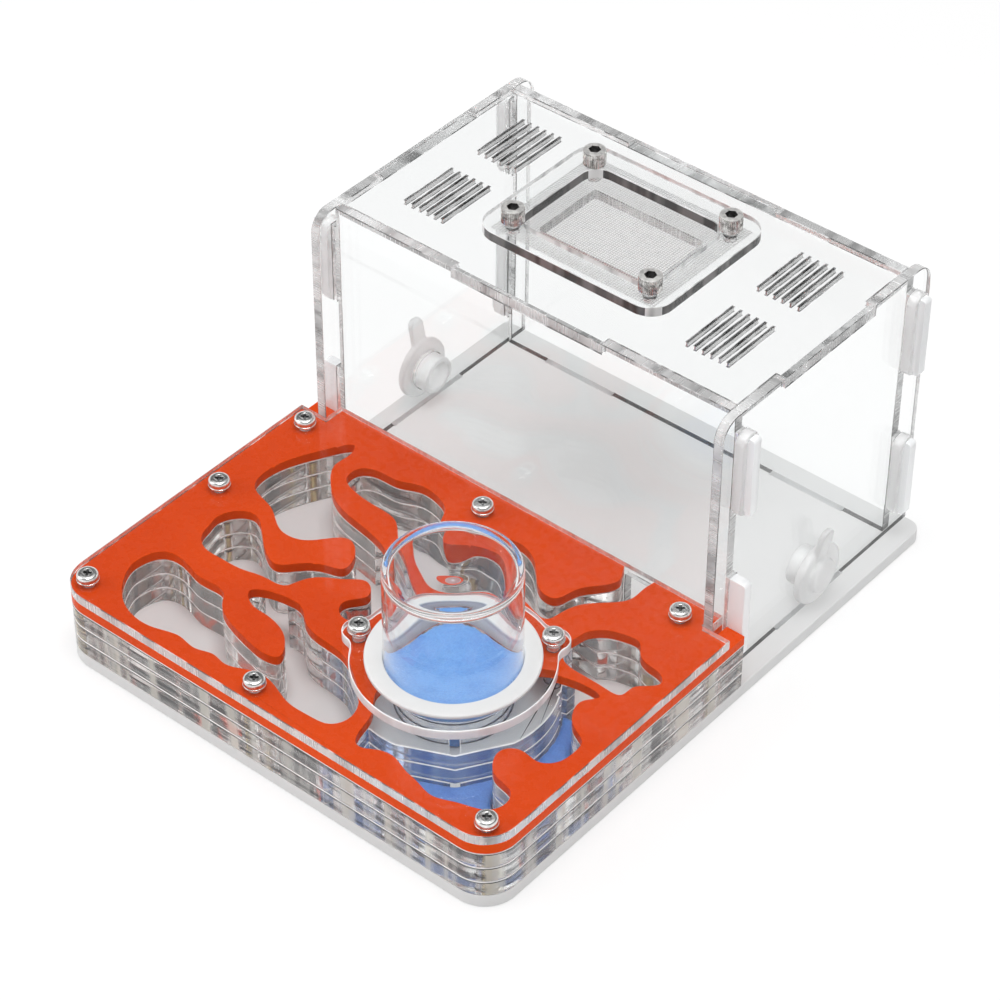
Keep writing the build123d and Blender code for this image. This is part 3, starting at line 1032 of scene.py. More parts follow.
@dataclass
class Sheet:
    """One laser-cut sheet with polished faces, streaked edges and a fine bevel.

    Attributes:
        node: The CAD node that it is made from.
        facing: Where its broad faces look.
        bevel: The width of the bevel along its edges.
        slot: The record's material slot.
        body: The body that it rides on.
        play: How far its faces draw back, so that neighbours don't share a plane.
        splits: Planes that draw an edge round it, each a point and a normal.
        arris: The finish of the bevel, where it has its own.
    """

    node: str
    facing: Facing
    bevel: float
    slot: str = "clear_sheet"
    body: Body = Body.ROOT
    play: float = 0.02 * MM
    splits: tuple[tuple[Vector, Vector], ...] = ()
    arris: bpy.types.Material | None = None

    def build(self, face: bpy.types.Material, edge: bpy.types.Material) -> bpy.types.Object:
        """Model and dress the sheet.

        Args:
            face: The finish of its broad faces.
            edge: The finish of its cut edges.

        Returns:
            The sheet.
        """
        piece = Bench.copy_of(self.node, f"{self.node}_sheet")
        if self.play:
            Bench.shrink(piece, self.play)
        for place, normal in self.splits:
            Bench.split(piece, place, normal)
        Bench.bevel(piece, self.bevel, 2, 50.0)
        Bench.smooth(piece, 34.0, true_flats=True)
        Bench.dress(piece, self.body, self.slot, [face, edge], [self.node])
        across = self.facing.value
        for polygon in piece.data.polygons:
            broad = abs(polygon.normal.dot(across)) > Faces.BROAD
            polygon.material_index = 0 if broad else 1
        if self.arris is not None:
            Bench.paint(piece, self.arris, lambda middle, normal: (
                Faces.UPRIGHT < abs(normal.dot(across)) < Faces.ROUNDED))
        return piece


@dataclass
class Nest:
    """The nest: opal base, clear layers, orange frame plate and clear cover.

    Attributes:
        layers: The CAD nodes of the clear layers.
        corner: The radius of the layers' front corners.
        near_rim: How near to the outline a face belongs to the outer rim.
        seam: The height of the painted shade line along a layer's upper edge.
        wet_reach: How far from the tower's axis the walls get a painted reflection of the blue sponge.
    """

    layers: tuple[str, ...] = ("layer_lower", "layer_middle", "layer_upper")
    corner: float = 10.0 * MM
    near_rim: float = 0.35 * MM
    seam: float = 0.65 * MM
    wet_reach: float = 36.0 * MM

    def build(self, finish: Finishes) -> None:
        """Model the nest's sheets.

        Args:
            finish: The materials.
        """
        Sheet("base_plate", Facing.UP, 0.3 * MM, "opal_white", play=0.0).build(
            finish.opal, finish.opal)
        tower = sum(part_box("tower_tube"), Vector()).xy / 2
        for layer in self.layers:
            self.layer(layer, tower, finish)
        Sheet("nest_frame", Facing.UP, 0.12 * MM, "orange_sheet").build(
            finish.orange, finish.orange_edge)
        Sheet("nest_cover", Facing.UP, 0.2 * MM, arris=finish.arris).build(
            finish.face, finish.flat_edge)

    def layer(self, node: str, tower: Vector, finish: Finishes) -> None:
        """Model one clear layer, with a painted highlight on its upper bevel and painted shade on its
        lower bevel and along its upper edge.

        Args:
            node: The CAD node.
            tower: The tower's axis.
            finish: The materials.
        """
        low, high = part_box(node)
        seam = high.z - self.seam
        sheet = Sheet(
            node, Facing.UP, 0.28 * MM, splits=((Vector((0.0, 0.0, seam)), Facing.UP.value),),
        ).build(finish.face, finish.chamber_wall)
        # Painted reflection: the chamber walls near the tower turn blue, as if they mirrored the sponge.
        Bench.paint(sheet, finish.wet_wall, lambda middle, normal: (
            Faces.cut(middle, normal) and (middle.xy - tower).length < self.wet_reach))
        Bench.paint(sheet, finish.rim, lambda middle, normal: (
            Faces.cut(middle, normal) and self.on_rim(middle, low, high)))
        # Painted shade: a dark strip along the rim just under the upper bevel.
        Bench.paint(sheet, finish.dark_line, lambda middle, normal: (
            abs(normal.z) < Faces.UPRIGHT and middle.z > seam
            and self.on_rim(middle, low, high)))
        # Painted highlight on each upward bevel, and painted shade on each downward one.
        Bench.paint(sheet, finish.bright_line, Faces.upper_arris)
        Bench.paint(sheet, finish.dark_line, Faces.lower_arris)

    def on_rim(self, middle: Vector, low: Vector, high: Vector) -> bool:
        """Tell whether a point lies on the outer rim of a layer.

        Args:
            middle: The point.
            low: The layer's lowest corner.
            high: The layer's highest corner.

        Returns:
            Whether it does.
        """
        side = abs(middle.x) - (high.x - self.corner)
        front = low.y + self.corner - middle.y
        if side > 0.0 and front > 0.0:
            return math.hypot(side, front) > self.corner - self.near_rim
        edge = min(high.x - abs(middle.x), middle.y - low.y, high.y - middle.y)
        return edge < self.near_rim


@dataclass
class WaterTower:
    """The water tower: flange, gasket, the closed tube and the sponges.

    Attributes:
        ease: How far the cup draws in from the CAD tube's side and the CAD lid's top.
        wall: The cup's wall.
        lid: The thickness of its closed end.
        edge: The corners of its foot and of the gasket.
        rim_round: The radius of the end's rim.
        shoulder: Where the dish begins, in rim radii from the side.
        dish: How far the end sinks towards its middle.
        dimple: How deep the dimple in its middle is.
        dimple_radius: The dimple's radius.
        crown: The radius of the corner inside, under the end.
        swell: How far the end's underside bulges down.
        swell_radius: The bulge's radius.
        round_steps: The steps of a quarter round.
        dish_steps: The steps of the dish.
        swell_steps: The steps of the bulge.
        foot_line: The height of the frosted line round the foot.
        ledge: How much narrower the sponge is in the well than in the tube.
        headroom: The room over the sponge in the tube.
        floor_play: The room under it.
        draw_in: How far the sheet of sponge draws back, for its uneven skin.
        pore: The size of the sponges' pores.
        lump: The size of their lumps.
    """

    ease: float = 0.5 * MM
    wall: float = 1.5 * MM
    lid: float = 2.4 * MM
    edge: float = 0.3 * MM
    rim_round: float = 1.0 * MM
    shoulder: float = 1.6
    dish: float = 0.6 * MM
    dimple: float = 1.1 * MM
    dimple_radius: float = 5.0 * MM
    crown: float = 1.0 * MM
    swell: float = 1.0 * MM
    swell_radius: float = 6.5 * MM
    round_steps: int = 6
    dish_steps: int = 24
    swell_steps: int = 18
    foot_line: float = 0.5 * MM
    ledge: float = 1.3 * MM
    headroom: float = 0.4 * MM
    floor_play: float = 0.1 * MM
    draw_in: float = 0.35 * MM
    pore: float = 0.8 * MM
    lump: float = 1.6 * MM

    def build(self, finish: Finishes) -> None:
        """Model the tower's pieces.

        Args:
            finish: The materials.
        """
        Sheet("tower_flange", Facing.UP, 0.3 * MM, "clear_tube").build(
            finish.face, finish.frosted_edge)
        self.gasket(finish)
        self.cup(finish)
        self.plug_of_sponge(finish)
        self.sheet_of_sponge(finish)

    def axis(self) -> tuple[float, float]:
        """The tower's axis, from the CAD tube's box."""
        low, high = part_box("tower_tube")
        return ((low.x + high.x) / 2, (low.y + high.y) / 2)

    @staticmethod
    def radius_of(node: str) -> float:
        """The radius of a round CAD node."""
        low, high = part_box(node)
        return (high.x - low.x) / 2

    def gasket(self, finish: Finishes) -> None:
        """Model the gasket as a soft ring between the flange and the tube.

        Args:
            finish: The materials.
        """
        low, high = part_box("tower_gasket")
        outer = self.radius_of("tower_gasket")
        inner = self.radius_of("tower_tube") - self.ease + CLOSE
        ring = Bench.lathe("gasket_ring", [
            (inner, low.z), (outer - self.edge, low.z), (outer, low.z + self.edge),
            (outer, high.z - self.edge), (outer - self.edge, high.z),
            (inner + self.edge, high.z), (inner, high.z - self.edge), (inner, low.z),
        ], self.axis())
        Bench.bevel(ring, 0.1 * MM, 2, 25.0)
        Bench.smooth(ring, 40.0)
        Bench.dress(ring, Body.ROOT, "silicone", [finish.gasket], ["tower_gasket"])

    def cup(self, finish: Finishes) -> None:
        """Model the tube and its dished, rounded end as one closed cup.

        Args:
            finish: The materials.
        """
        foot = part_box("tower_tube")[0].z
        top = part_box("tower_lid")[1].z - self.ease
        radius = self.radius_of("tower_tube") - self.ease
        bore = radius - self.wall
        lip = [(radius, foot + self.edge), (radius - self.edge, foot), (bore, foot)]
        profile = self.outer_end(radius, top) + lip + self.inner_end(bore, top - self.lid)
        cup = Bench.lathe("water_cup", profile, self.axis())
        Bench.smooth(cup, 60.0)
        Bench.dress(cup, Body.TOWER, "clear_tube", [finish.face], ["tower_tube", "tower_lid"])
        Bench.paint(cup, finish.frosted_edge, lambda middle, normal: (
            normal.z < -0.5 and middle.z < foot + self.foot_line))

    def outer_end(self, radius: float, top: float) -> list[tuple[float, float]]:
        """The cup's end outside: a dish with a dimple, and its round rim.

        Args:
            radius: The cup's radius.
            top: The height of its rim.

        Returns:
            The radius and height of each point, from the axis to the side.
        """
        profile = []
        for step in range(self.dish_steps + 1):
            share = step / self.dish_steps
            reach = max(HUB, (radius - self.shoulder * self.rim_round) * share)
            sink = self.dimple * math.exp(-((reach / self.dimple_radius) ** 2))
            profile.append((reach, top - self.dish * (1.0 - share ** 2) - sink))
        for turn in range(1, self.round_steps + 1):
            angle = math.radians(90.0 * turn / self.round_steps)
            profile.append((
                radius - self.rim_round * (1.0 - math.sin(angle)),
                top - self.rim_round * (1.0 - math.cos(angle)),
            ))
        return profile

    def inner_end(self, bore: float, ceiling: float) -> list[tuple[float, float]]:
        """The cup's end inside: its round corner and the bulge in its middle.

        Args:
            bore: The cup's inner radius.
            ceiling: The height of its underside.

        Returns:
            The radius and height of each point, from the side to the axis.
        """
        profile = []
        for turn in range(self.round_steps + 1):
            angle = math.radians(90.0 * turn / self.round_steps)
            profile.append((
                bore - self.crown * (1.0 - math.cos(angle)),
                ceiling - self.crown * (1.0 - math.sin(angle)),
            ))
        for step in range(self.swell_steps - 1, -1, -1):
            reach = max(HUB, (bore - self.crown) * step / self.swell_steps)
            swell = self.swell * math.exp(-((reach / self.swell_radius) ** 2))
            profile.append((reach, ceiling - swell))
        return profile

    def plug_of_sponge(self, finish: Finishes) -> None:
        """Model the sponge that fills the well and the foot of the tube.

        Args:
            finish: The materials.
        """
        low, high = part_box("tower_sponge")
        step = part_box("tower_tube")[0].z
        radius = self.radius_of("tower_sponge") - CLOSE
        sponge = Bench.cylinder(
            "well_sponge", radius, step, high.z - self.headroom, 96, self.axis())
        Bench.edit(sponge)
        Bench.pick(sponge, Faces.bottom)
        bpy.ops.mesh.inset(thickness=self.ledge)
        bpy.ops.mesh.extrude_region_move(
            TRANSFORM_OT_translate={"value": (0.0, 0.0, low.z + self.floor_play - step)})
        Bench.close()
        self.foam(sponge, 0.35 * MM)
        Bench.dress(sponge, Body.ROOT, "blue_sponge", [finish.tower_sponge], ["tower_sponge"])

    def sheet_of_sponge(self, finish: Finishes) -> None:
        """Model the sponge sheet on the wet chamber's floor.

        Args:
            finish: The materials.
        """
        sponge = Bench.copy_of("chamber_sponge", "floor_sponge")
        Bench.shrink(sponge, self.draw_in)
        self.foam(sponge, 0.3 * MM)
        Bench.dress(sponge, Body.ROOT, "blue_sponge", [finish.chamber_sponge], ["chamber_sponge"])

    def foam(self, sponge: bpy.types.Object, depth: float) -> None:
        """Give a sponge its fine mesh and its uneven skin.

        Args:
            sponge: The sponge.
            depth: How uneven the skin is.
        """
        Bench.modify(sponge, "REMESH", mode="VOXEL", voxel_size=self.pore)
        lumps = bpy.data.textures.new("sponge lumps", "CLOUDS")
        lumps.noise_scale = self.lump
        Bench.modify(
            sponge, "DISPLACE", texture=lumps, texture_coords="LOCAL", strength=depth, mid_level=0.6)
        Bench.smooth(sponge, 60.0)


@dataclass
class PanScrews:
    """Pan-head cross-recess screws with their washers and brass inserts.

    Attributes:
        head_radius: The head's radius.
        head_height: Its height.
        head_round: How far its upper edge is rounded.
        head_foot: How far its lower edge is rounded.
        cross: The length of the cross recess.
        slot: Its width.
        recess: Its depth.
        recess_lip: How far down its walls the painted shade begins.
        recess_turn: The turn of the cross.
        thread_radius: The thread's radius.
        thread_pitch: Its pitch.
        thread_core: The share of the radius that its core has.
        thread_overlap: How far the thread reaches into the head.
        insert_radius: The insert's radius over its knurls.
        insert_play: The room at each of its ends.
        insert_bands: The knurled bands of an insert.
        knurls: The corners of a knurled band, every second of which stands out.
        knurl_share: The share of the radius that the grooves between them have.
        groove: Half the width of the groove between two bands.
        bore_radius: The radius of the insert's bore.
        bore_depth: Its depth.
    """

    head_radius: float = 3.0 * MM
    head_height: float = 2.0 * MM
    head_round: float = 1.15 * MM
    head_foot: float = 0.15 * MM
    cross: float = 3.5 * MM
    slot: float = 0.9 * MM
    recess: float = 1.2 * MM
    recess_lip: float = 0.12 * MM
    recess_turn: float = math.pi / 5
    thread_radius: float = 1.48 * MM
    thread_pitch: float = 0.5 * MM
    thread_core: float = 0.84
    thread_overlap: float = 0.02 * MM
    insert_radius: float = 2.06 * MM
    insert_play: float = 0.06 * MM
    insert_bands: int = 3
    knurls: int = 36
    knurl_share: float = 0.93
    groove: float = 0.25 * MM
    bore_radius: float = 1.56 * MM
    bore_depth: float = 9.0 * MM

    def build(self, finish: Finishes) -> None:
        """Model the screws of the nest and of the tower, their washers and the inserts.

        Args:
            finish: The materials.
        """
        for group in ("nest", "tower"):
            boxes = Bench.islands(f"{group}_screws")
            tops = Bench.tops_of(boxes)
            length = boxes[0][1].z - boxes[0][0].z - self.head_height
            screws = Bench.copies(self.screw(length), tops, f"{group}_pan_screws")
            Bench.smooth(screws, 40.0)
            Bench.dress(screws, Body.ROOT, "steel", [finish.steel], [f"{group}_screws"])
            # Painted shade in each cross recess, below its lip.
            floor = tops[0].z - self.recess - 0.5 * MM
            Bench.paint(screws, finish.recess, lambda middle, normal: (
                middle.z > floor and self.in_recess(middle, tops)))
            washers = Bench.copy_of(f"{group}_washers", f"{group}_flat_washers")
            Bench.bevel(washers, 0.12 * MM, 2, 40.0)
            Bench.smooth(washers, 40.0)
            Bench.dress(washers, Body.ROOT, "steel", [finish.steel], [f"{group}_washers"])
        boxes = Bench.islands("nest_inserts")
        height = boxes[0][1].z - boxes[0][0].z
        inserts = Bench.copies(self.insert(height), Bench.feet_of(boxes), "knurled_inserts")
        Bench.smooth(inserts, 30.0)
        Bench.dress(inserts, Body.ROOT, "brass", [finish.brass], ["nest_inserts"])

    def in_recess(self, middle: Vector, tops: list[Vector]) -> bool:
        """Tell whether a point lies in the cross recess of one of the screws.

        Args:
            middle: The point.
            tops: The tops of the screws.

        Returns:
            Whether it does.
        """
        near = min(tops, key=lambda top: (top - middle).length)
        down = near.z - middle.z
        return (middle - near).xy.length < self.cross / 2 and down > self.recess_lip

    def screw(self, length: float) -> bpy.types.Object:
        """Model one screw with the top of its head at the origin.

        Args:
            length: How far its thread reaches below the head.

        Returns:
            The screw.
        """
        head = Bench.cylinder("pan_head", self.head_radius, -self.head_height, 0.0, 48)
        Bench.edit(head)
        Bench.pick(head, Faces.top)
        bpy.ops.mesh.bevel(offset=self.head_round, segments=5, profile=0.55, affect="EDGES")
        Bench.pick(head, Faces.bottom)
        bpy.ops.mesh.bevel(offset=self.head_foot, segments=2, affect="EDGES")
        Bench.close()
        for turn in (0.0, math.pi / 2):
            Bench.cut(head, self.wing(turn + self.recess_turn))
        Bench.bevel(head, 0.05 * MM, 1, 50.0)
        return Bench.join([head, self.thread(length)], "pan_screw")

    def wing(self, turn: float) -> bpy.types.Object:
        """Model one bar of the cross recess, tapered to its foot.

        Args:
            turn: How far it is turned about the screw's axis.

        Returns:
            The bar.
        """
        reach = Vector((self.cross / 2, self.slot / 2, self.recess))
        wing = Bench.box("wing", -reach, reach)
        Bench.edit(wing)
        Bench.pick(wing, Faces.bottom)
        bpy.ops.transform.resize(value=(0.45, 0.8, 1.0))
        Bench.close()
        wing.rotation_euler.z = turn
        Bench.settle(wing)
        return wing

    def thread(self, length: float) -> bpy.types.Object:
        """Model the ridges of the thread under the head.

        Args:
            length: The thread's length.

        Returns:
            The thread.
        """
        rod = Bench.cylinder(
            "thread", self.thread_radius, -self.head_height - self.thread_pitch,
            -self.head_height + self.thread_overlap, 20)
        Bench.edit(rod)
        Bench.pick(rod, Faces.cut)
        bpy.ops.mesh.subdivide(number_cuts=1, ngon=False, quadcorner="INNERVERT")
        Bench.close()
        Bench.modify(
            rod, "ARRAY", count=max(1, round(length / self.thread_pitch)), use_relative_offset=False,
            use_constant_offset=True, constant_offset_displace=(0.0, 0.0, -self.thread_pitch))
        Bench.edit(rod)
        Bench.pick_points(rod, self.in_groove)
        Bench.narrow(self.thread_core)
        Bench.close()
        return rod

    def in_groove(self, point: Vector) -> bool:
        """Tell whether a point of the thread lies between two of its ridges."""
        steps = (-self.head_height - point.z) / self.thread_pitch
        return abs(steps - round(steps)) > 0.25

    def insert(self, height: float) -> bpy.types.Object:
        """Model one knurled insert that stands on the origin.

        Args:
            height: Its height.

        Returns:
            The insert.
        """
        insert = Bench.cylinder(
            "insert", self.insert_radius, self.insert_play, height - self.insert_play, self.knurls)
        step = height / self.insert_bands
        for band in range(self.insert_bands):
            for groove in (band * step + self.groove, (band + 1) * step - self.groove):
                Bench.split(insert, Vector((0.0, 0.0, groove)), Facing.UP.value)
        Bench.edit(insert)
        Bench.pick_points(insert, lambda point: (
            Bench.corner_of(point, self.knurls) % 2 == 0
            or abs(point.z - round(point.z / step) * step) < self.groove + CLOSE))
        Bench.narrow(self.knurl_share)
        Bench.close()
        bore = Bench.cylinder(
            "bore", self.bore_radius, height - self.bore_depth, height + 1.0 * MM, 24)
        Bench.cut(insert, bore)
        return insert


@dataclass
class Arena:
    """The arena: four slotted walls, the vented top panel and the lock rings.

    Attributes:
        foot_line: How near to the base plate a wall's cut underside counts as its foot.
        vent_near: Where the vents begin, from the middle.
        vent_far: Where they end.
        vent_reach: How far they reach to the front and the back of the hatch's middle.
        ring_round: How far the lock rings are rounded.
    """

    foot_line: float = 0.3 * MM
    vent_near: float = 34.0 * MM
    vent_far: float = 60.0 * MM
    vent_reach: float = 26.0 * MM
    ring_round: float = 0.45 * MM

    def build(self, finish: Finishes) -> None:
        """Model the arena's pieces.

        Args:
            finish: The materials.
        """
        base_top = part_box("base_plate")[1].z
        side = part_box("arena_right")[1].x
        foot = (Vector((0.0, 0.0, base_top)), Facing.UP.value)
        ends = tuple((Vector((x, 0.0, 0.0)), Facing.ACROSS.value) for x in (-side, side))
        for node in ("arena_left", "arena_right"):
            wall = Sheet(node, Facing.ACROSS, 0.2 * MM, splits=(foot,), arris=finish.arris).build(
                finish.face, finish.across_edge)
            self.shade_foot(wall, finish, base_top)
        for node in ("arena_front", "arena_back"):
            wall = Sheet(node, Facing.DEEP, 0.2 * MM, splits=(foot, *ends), arris=finish.arris).build(
                finish.face, finish.deep_edge)
            self.shade_foot(wall, finish, base_top)
            Bench.paint(wall, finish.frosted_edge, lambda middle, normal: abs(middle.x) > side)
        self.roof(finish)
        self.rings(finish)

    def shade_foot(self, wall: bpy.types.Object, finish: Finishes, base_top: float) -> None:
        """Frost a wall's tabs in the base plate, and paint shade on its cut underside between them,
        where it stands on the plate.

        Args:
            wall: The wall.
            finish: The materials.
            base_top: The height of the base plate's upper face.
        """
        Bench.paint(wall, finish.frosted_edge, lambda middle, normal: middle.z < base_top)
        # Painted shadow on the cut underside between the tabs, where the wall stands on the base plate.
        Bench.paint(wall, finish.dark_line, lambda middle, normal: (
            normal.z < -Faces.UPRIGHT and abs(middle.z - base_top) < self.foot_line))

    def roof(self, finish: Finishes) -> None:
        """Model the top panel, with painted shade on the cut edges of its vents.

        Args:
            finish: The materials.
        """
        roof = Sheet("arena_roof", Facing.UP, 0.16 * MM, arris=finish.arris).build(
            finish.face, finish.flat_edge)
        hatch_y = sum(corner.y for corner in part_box("hatch_plate")) / 2
        # Painted shade on the cut edges inside the vents.
        Bench.paint(roof, finish.vent_edge, lambda middle, normal: (
            Faces.cut(middle, normal) and self.vent_near < abs(middle.x) < self.vent_far
            and abs(middle.y - hatch_y) < self.vent_reach))

    def rings(self, finish: Finishes) -> None:
        """Model the soft rings that lock the walls' tabs.

        Args:
            finish: The materials.
        """
        rings = Bench.copy_of("lock_rings", "silicone_rings")
        Bench.bevel(rings, self.ring_round, 4, 50.0)
        Bench.smooth(rings, 50.0)
        Bench.dress(rings, Body.ROOT, "silicone", [finish.silicone], ["lock_rings"])


@dataclass
class Hatch:
    """The hatch: clear plate, woven mesh and four knurled screws.

    Attributes:
        wire: The radius of the mesh's wires.
        pitch: The distance of two wires.
        wave: How far a wire bends up and down.
        end_play: How much shorter than the mesh a wire is.
        side_play: How much narrower than the mesh a set of wires is.
        ridges: The ridges round a screw's head.
        ridge_share: The share of the radius that the grooves between them have.
        head_round: How far the head's upper edge is rounded.
        neck: The height of the plain band at its foot.
        socket: The width of the hexagon socket across its flats.
        socket_depth: Its depth.
        rim_depth: How far down the bright rim of the head reaches.
        shank_radius: The radius of the screw's shank.
    """

    wire: float = 0.1 * MM
    pitch: float = 0.8 * MM
    wave: float = 0.11 * MM
    end_play: float = 0.4 * MM
    side_play: float = 0.8 * MM
    ridges: int = 36
    ridge_share: float = 0.925
    head_round: float = 0.3 * MM
    neck: float = 0.25 * MM
    socket: float = 3.0 * MM
    socket_depth: float = 2.2 * MM
    # rim_depth: How far down the painted highlight on the head's upward faces reaches.
    rim_depth: float = 0.4 * MM
    shank_radius: float = 1.55 * MM

    def build(self, finish: Finishes) -> None:
        """Model the hatch's pieces.

        Args:
            finish: The materials.
        """
        plate = Sheet("hatch_plate", Facing.UP, 0.2 * MM, body=Body.HATCH).build(
            finish.face, finish.hatch_edge)
        # The cut edges that look to the front or the right keep the painted shade, and all others get
        # the painted light.
        Bench.paint(plate, finish.hatch_pale_edge, lambda middle, normal: (
            abs(normal.z) < Faces.BROAD
            and (normal.z > Faces.UPRIGHT or max(-normal.y, normal.x) < Faces.FLAT)))
        self.weave(finish)
        self.screws(finish)

    def weave(self, finish: Finishes) -> None:
        """Weave the mesh from wires that pass over and under each other.

        Args:
            finish: The materials.
        """
        low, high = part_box("hatch_mesh")
        middle = (low + high) / 2
        sets = []
        for along, across in ((0, 1), (1, 0)):
            length = high[along] - low[along] - self.end_play
            span = high[across] - low[across] - self.side_play
            bends = int(length / self.pitch) * 2
            count = int(span / self.pitch) + 1
            for phase in (0, 1):
                wire = self.strand(length, bends, phase if along == 0 else 1 - phase)
                if along == 1:
                    wire.rotation_euler.z = math.pi / 2
                    Bench.settle(wire)
                step = [0.0, 0.0, 0.0]
                step[across] = 2 * self.pitch
                Bench.modify(
                    wire, "ARRAY", count=(count + 1 - phase) // 2, use_relative_offset=False,
                    use_constant_offset=True, constant_offset_displace=tuple(step))
                start = Vector(middle)
                start[across] += (phase - (count - 1) / 2) * self.pitch
                wire.location = start
                Bench.settle(wire)
                sets.append(wire)
        weave = Bench.join(sets, "woven_mesh")
        Bench.smooth(weave, 80.0)
        Bench.dress(weave, Body.HATCH, "mesh", [finish.wire], ["hatch_mesh"])

    def strand(self, length: float, bends: int, phase: int) -> bpy.types.Object:
        """Model one bent wire along X, with its middle at the origin.

        Args:
            length: Its length.
            bends: How many steps it has along it.
            phase: 1 or 0, for a wire that goes over where the other goes under.

        Returns:
            The wire.
        """
        Bench.deselect()
        bpy.ops.mesh.primitive_cylinder_add(
            vertices=5, radius=self.wire, depth=length, end_fill_type="NGON",
            rotation=(0.0, math.pi / 2, 0.0))
        wire = bpy.context.object
        wire.name = "strand"
        Bench.settle(wire)
        Bench.edit(wire)
        bpy.ops.mesh.select_mode(type="EDGE")
        mesh = bmesh.from_edit_mesh(wire.data)
        for edge in mesh.edges:
            edge.select_set(abs(edge.verts[0].co.x - edge.verts[1].co.x) > length / 2)
        bmesh.update_edit_mesh(wire.data)
        bpy.ops.mesh.subdivide(number_cuts=bends - 1)
        Bench.close()
        for vert in wire.data.vertices:
            turn = (vert.co.x / self.pitch + phase + 0.5) * math.pi
            vert.co.z += self.wave * math.sin(turn)
        return wire

    def screws(self, finish: Finishes) -> None:
        """Model the knurled socket-head screws.

        Args:
            finish: The materials.
        """
        boxes = Bench.islands("hatch_screws")
        tops = Bench.tops_of(boxes)
        low, high = boxes[0]
        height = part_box("hatch_screws")[1].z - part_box("hatch_plate")[1].z
        head = self.head((high.x - low.x) / 2, height)
        shank = Bench.cylinder("shank", self.shank_radius, low.z - high.z, CLOSE - height, 24)
        screw = Bench.join([head, shank], "knurled_screw")
        screws = Bench.copies(screw, tops, "knurled_screws")
        Bench.smooth(screws, 28.0)
        Bench.dress(screws, Body.HATCH, "nickel", [finish.nickel], ["hatch_screws"])
        level = tops[0].z - self.rim_depth
        # Satin finish and painted highlight on the upward faces at the top of each head.
        Bench.paint(screws, finish.bright_rim, lambda middle, normal: (
            normal.z > 0.3 and middle.z > level))
        # Painted shade on the walls of each hexagon socket.
        Bench.paint(screws, finish.recess, lambda middle, normal: abs(normal.z) < 0.5 and any(
            (middle.xy - top.xy).length < self.socket * 0.6 for top in tops))

    def head(self, radius: float, height: float) -> bpy.types.Object:
        """Model a screw's knurled head with its socket, its top at the origin.

        Args:
            radius: Its radius.
            height: Its height.

        Returns:
            The head.
        """
        head = Bench.cylinder("socket_head", radius, -height, 0.0, 2 * self.ridges)
        Bench.edit(head)
        Bench.pick(head, Faces.top)
        bpy.ops.mesh.bevel(offset=self.head_round, segments=3, affect="EDGES")
        bpy.ops.mesh.select_all(action="SELECT")
        bpy.ops.mesh.bisect(
            plane_co=(0.0, 0.0, self.neck - height), plane_no=Facing.UP.value)
        Bench.pick_points(head, lambda point: (
            Bench.corner_of(point, 2 * self.ridges) % 2 == 1
            and point.xy.length > radius - CLOSE))
        Bench.narrow(self.ridge_share)
        Bench.close()
        hexagon = self.socket / 2 / math.cos(math.pi / 6)
        Bench.cut(head, Bench.cylinder("key", hexagon, -self.socket_depth, 1.0 * MM, 6))
        return head


@dataclass
class PortPlug:
    """A moulded silicone plug: flange, hollow stub and pull tongue.

    Attributes:
        node: The CAD node.
        body: The body that it rides on.
        grain: The size of its mesh.
        softness: How strongly its edges are rounded off, from 0 to 1.
        passes: How often they are.
    """

    node: str
    body: Body
    grain: float = 0.35 * MM
    softness: float = 0.6
    passes: int = 6

    def build(self, finish: Finishes) -> None:
        """Model the plug as one soft moulding.

        Args:
            finish: The materials.
        """
        plug = Bench.copy_of(self.node, f"{self.node}_moulding")
        Bench.modify(plug, "REMESH", mode="VOXEL", voxel_size=self.grain)
        Bench.modify(plug, "SMOOTH", factor=self.softness, iterations=self.passes)
        Bench.smooth(plug, 80.0)
        Bench.dress(plug, self.body, "silicone", [finish.silicone], [self.node])


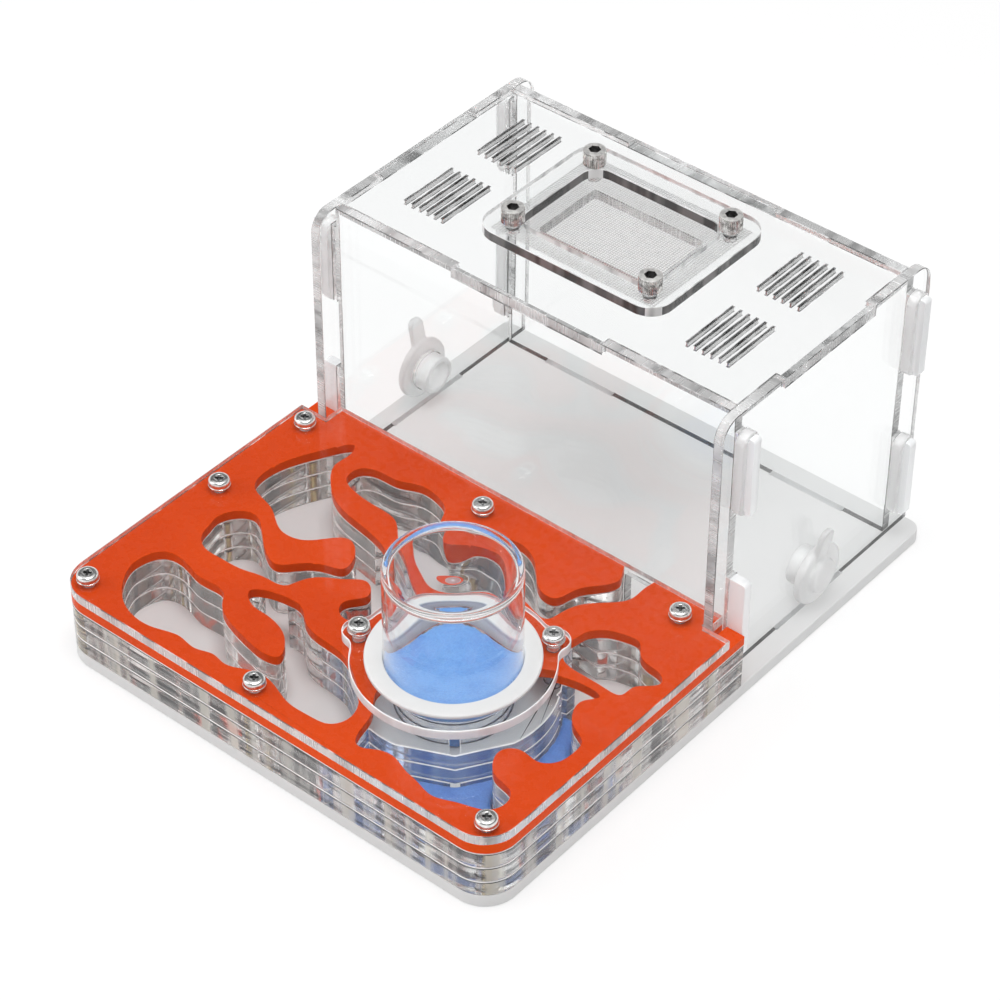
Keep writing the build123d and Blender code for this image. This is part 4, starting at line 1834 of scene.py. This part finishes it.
@dataclass
class Studio:
    """The pale floor, the soft lamps, the world and the camera.

    Attributes:
        lens: The camera's focal length in millimetres, on a 36 mm sensor.
        eye: The camera's place.
        right: The direction to the right in its picture.
        up: The direction upwards in its picture.
        aim: The point that the lamps look at.
        glow: How strongly the world lights the scene.
        sky: The heights of a direction, and how bright the world shows there.
        bounces: How often a ray may turn in the clear sheets.
    """

    lens: float = 122.3535
    eye: Triple = (0.439552, -0.528136, 0.625991)
    right: Triple = (0.766513, 0.642219, 0.003581)
    up: Triple = (-0.421553, 0.498917, 0.757215)
    aim: Triple = (0.0, 0.0, 0.03)
    glow: float = 0.56
    sky: tuple[tuple[float, float], ...] = ((0.25, 1.0), (0.58, 0.1), (0.72, 0.1), (0.84, 0.9))
    bounces: int = 28

    def build(self) -> None:
        """Set the studio up."""
        self.floor()
        self.lamp("overhead lamp", Vector((0.1, -0.1, 1.2)), size=0.5, power=9.0)
        self.lamp("fill lamp", Vector((-0.75, -0.75, 0.75)), size=0.8, power=3.0)
        self.world()
        self.camera()

    @staticmethod
    def floor() -> None:
        """Lay the floor, which is nearly white to the camera and keeps some of the shadow."""
        Bench.deselect()
        bpy.ops.mesh.primitive_plane_add(size=8.0, location=(0.0, 0.0, -0.2 * MM))
        floor = bpy.context.object
        floor.name = "studio_floor"
        g = Graph("studio floor")
        g.set(Base_Color=(*grey(0.9), 1.0), Roughness=0.9, Specular_IOR_Level=0.1)
        g.whiten(0.62)
        floor.data.materials.append(g.material)

    def lamp(self, name: str, place: Vector, size: float, power: float) -> None:
        """Hang a soft square lamp that looks at the object.

        Args:
            name: The lamp's name.
            place: Where it hangs.
            size: Its side.
            power: Its power in watts.
        """
        light = bpy.data.lights.new(name, "AREA")
        light.shape = "SQUARE"
        light.size = size
        light.energy = power
        lamp = bpy.data.objects.new(name, light)
        bpy.context.scene.collection.objects.link(lamp)
        lamp.location = place
        lamp.rotation_euler = (Vector(self.aim) - place).to_track_quat("-Z", "Y").to_euler()

    def world(self) -> None:
        """Light the scene evenly from all round.

        The camera, mirrors and glass see a sky instead. It is bright, with a dark band at the
        height that level faces mirror to the camera, so that they stay clear.
        """
        world = bpy.data.worlds.new("studio")
        bpy.context.scene.world = world
        world.use_nodes = True
        g = Wiring(world.node_tree)
        output = g.add("ShaderNodeOutputWorld")
        where = g.add("ShaderNodeTexCoord")
        axes = g.add("ShaderNodeSeparateXYZ")
        g.link(where.outputs["Generated"], axes.inputs["Vector"])
        light = g.add("ShaderNodeBackground", Color=(1.0, 1.0, 1.0, 1.0), Strength=self.glow)
        sky = g.add("ShaderNodeBackground", Color=(1.0, 1.0, 1.0, 1.0))
        g.link(
            g.ramp(axes.outputs["Z"], [(height, grey(level)) for height, level in self.sky]),
            sky.inputs["Strength"])
        seen = g.ray_is("Is Camera Ray", "Is Glossy Ray", "Is Transmission Ray")
        g.link(
            g.mixed(seen, light.outputs["Background"], sky.outputs["Background"]),
            output.inputs["Surface"])

    def camera(self) -> None:
        """Set the camera at the photograph's angle, and the depth of its rays in the sheets."""
        data = bpy.data.cameras.new("camera")
        data.lens = self.lens
        data.sensor_width = 36.0
        data.clip_start = 10.0 * MM
        camera = bpy.data.objects.new("camera", data)
        bpy.context.scene.collection.objects.link(camera)
        right, up = Vector(self.right), Vector(self.up)
        back = right.cross(up).normalized()
        turn = Matrix((right, up, back)).transposed().to_4x4()
        camera.matrix_world = Matrix.Translation(Vector(self.eye)) @ turn
        scene = bpy.context.scene
        scene.camera = camera
        scene.view_settings.view_transform = "Standard"
        scene.cycles.max_bounces = self.bounces
        scene.cycles.transmission_bounces = self.bounces
        scene.cycles.glossy_bounces = self.bounces
        scene.cycles.transparent_max_bounces = 2 * self.bounces


def main() -> None:
    """Build the habitat piece by piece, then the studio."""
    logging.basicConfig(level=logging.INFO, format="%(message)s")
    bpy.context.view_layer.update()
    finish = Finishes.mix()
    Nest().build(finish)
    WaterTower().build(finish)
    PanScrews().build(finish)
    Arena().build(finish)
    Hatch().build(finish)
    PortPlug("plug_left", Body.LEFT_PLUG).build(finish)
    PortPlug("plug_right", Body.RIGHT_PLUG).build(finish)
    Studio().build()
    Bench.deselect()


if __name__ == "__main__":
    main()
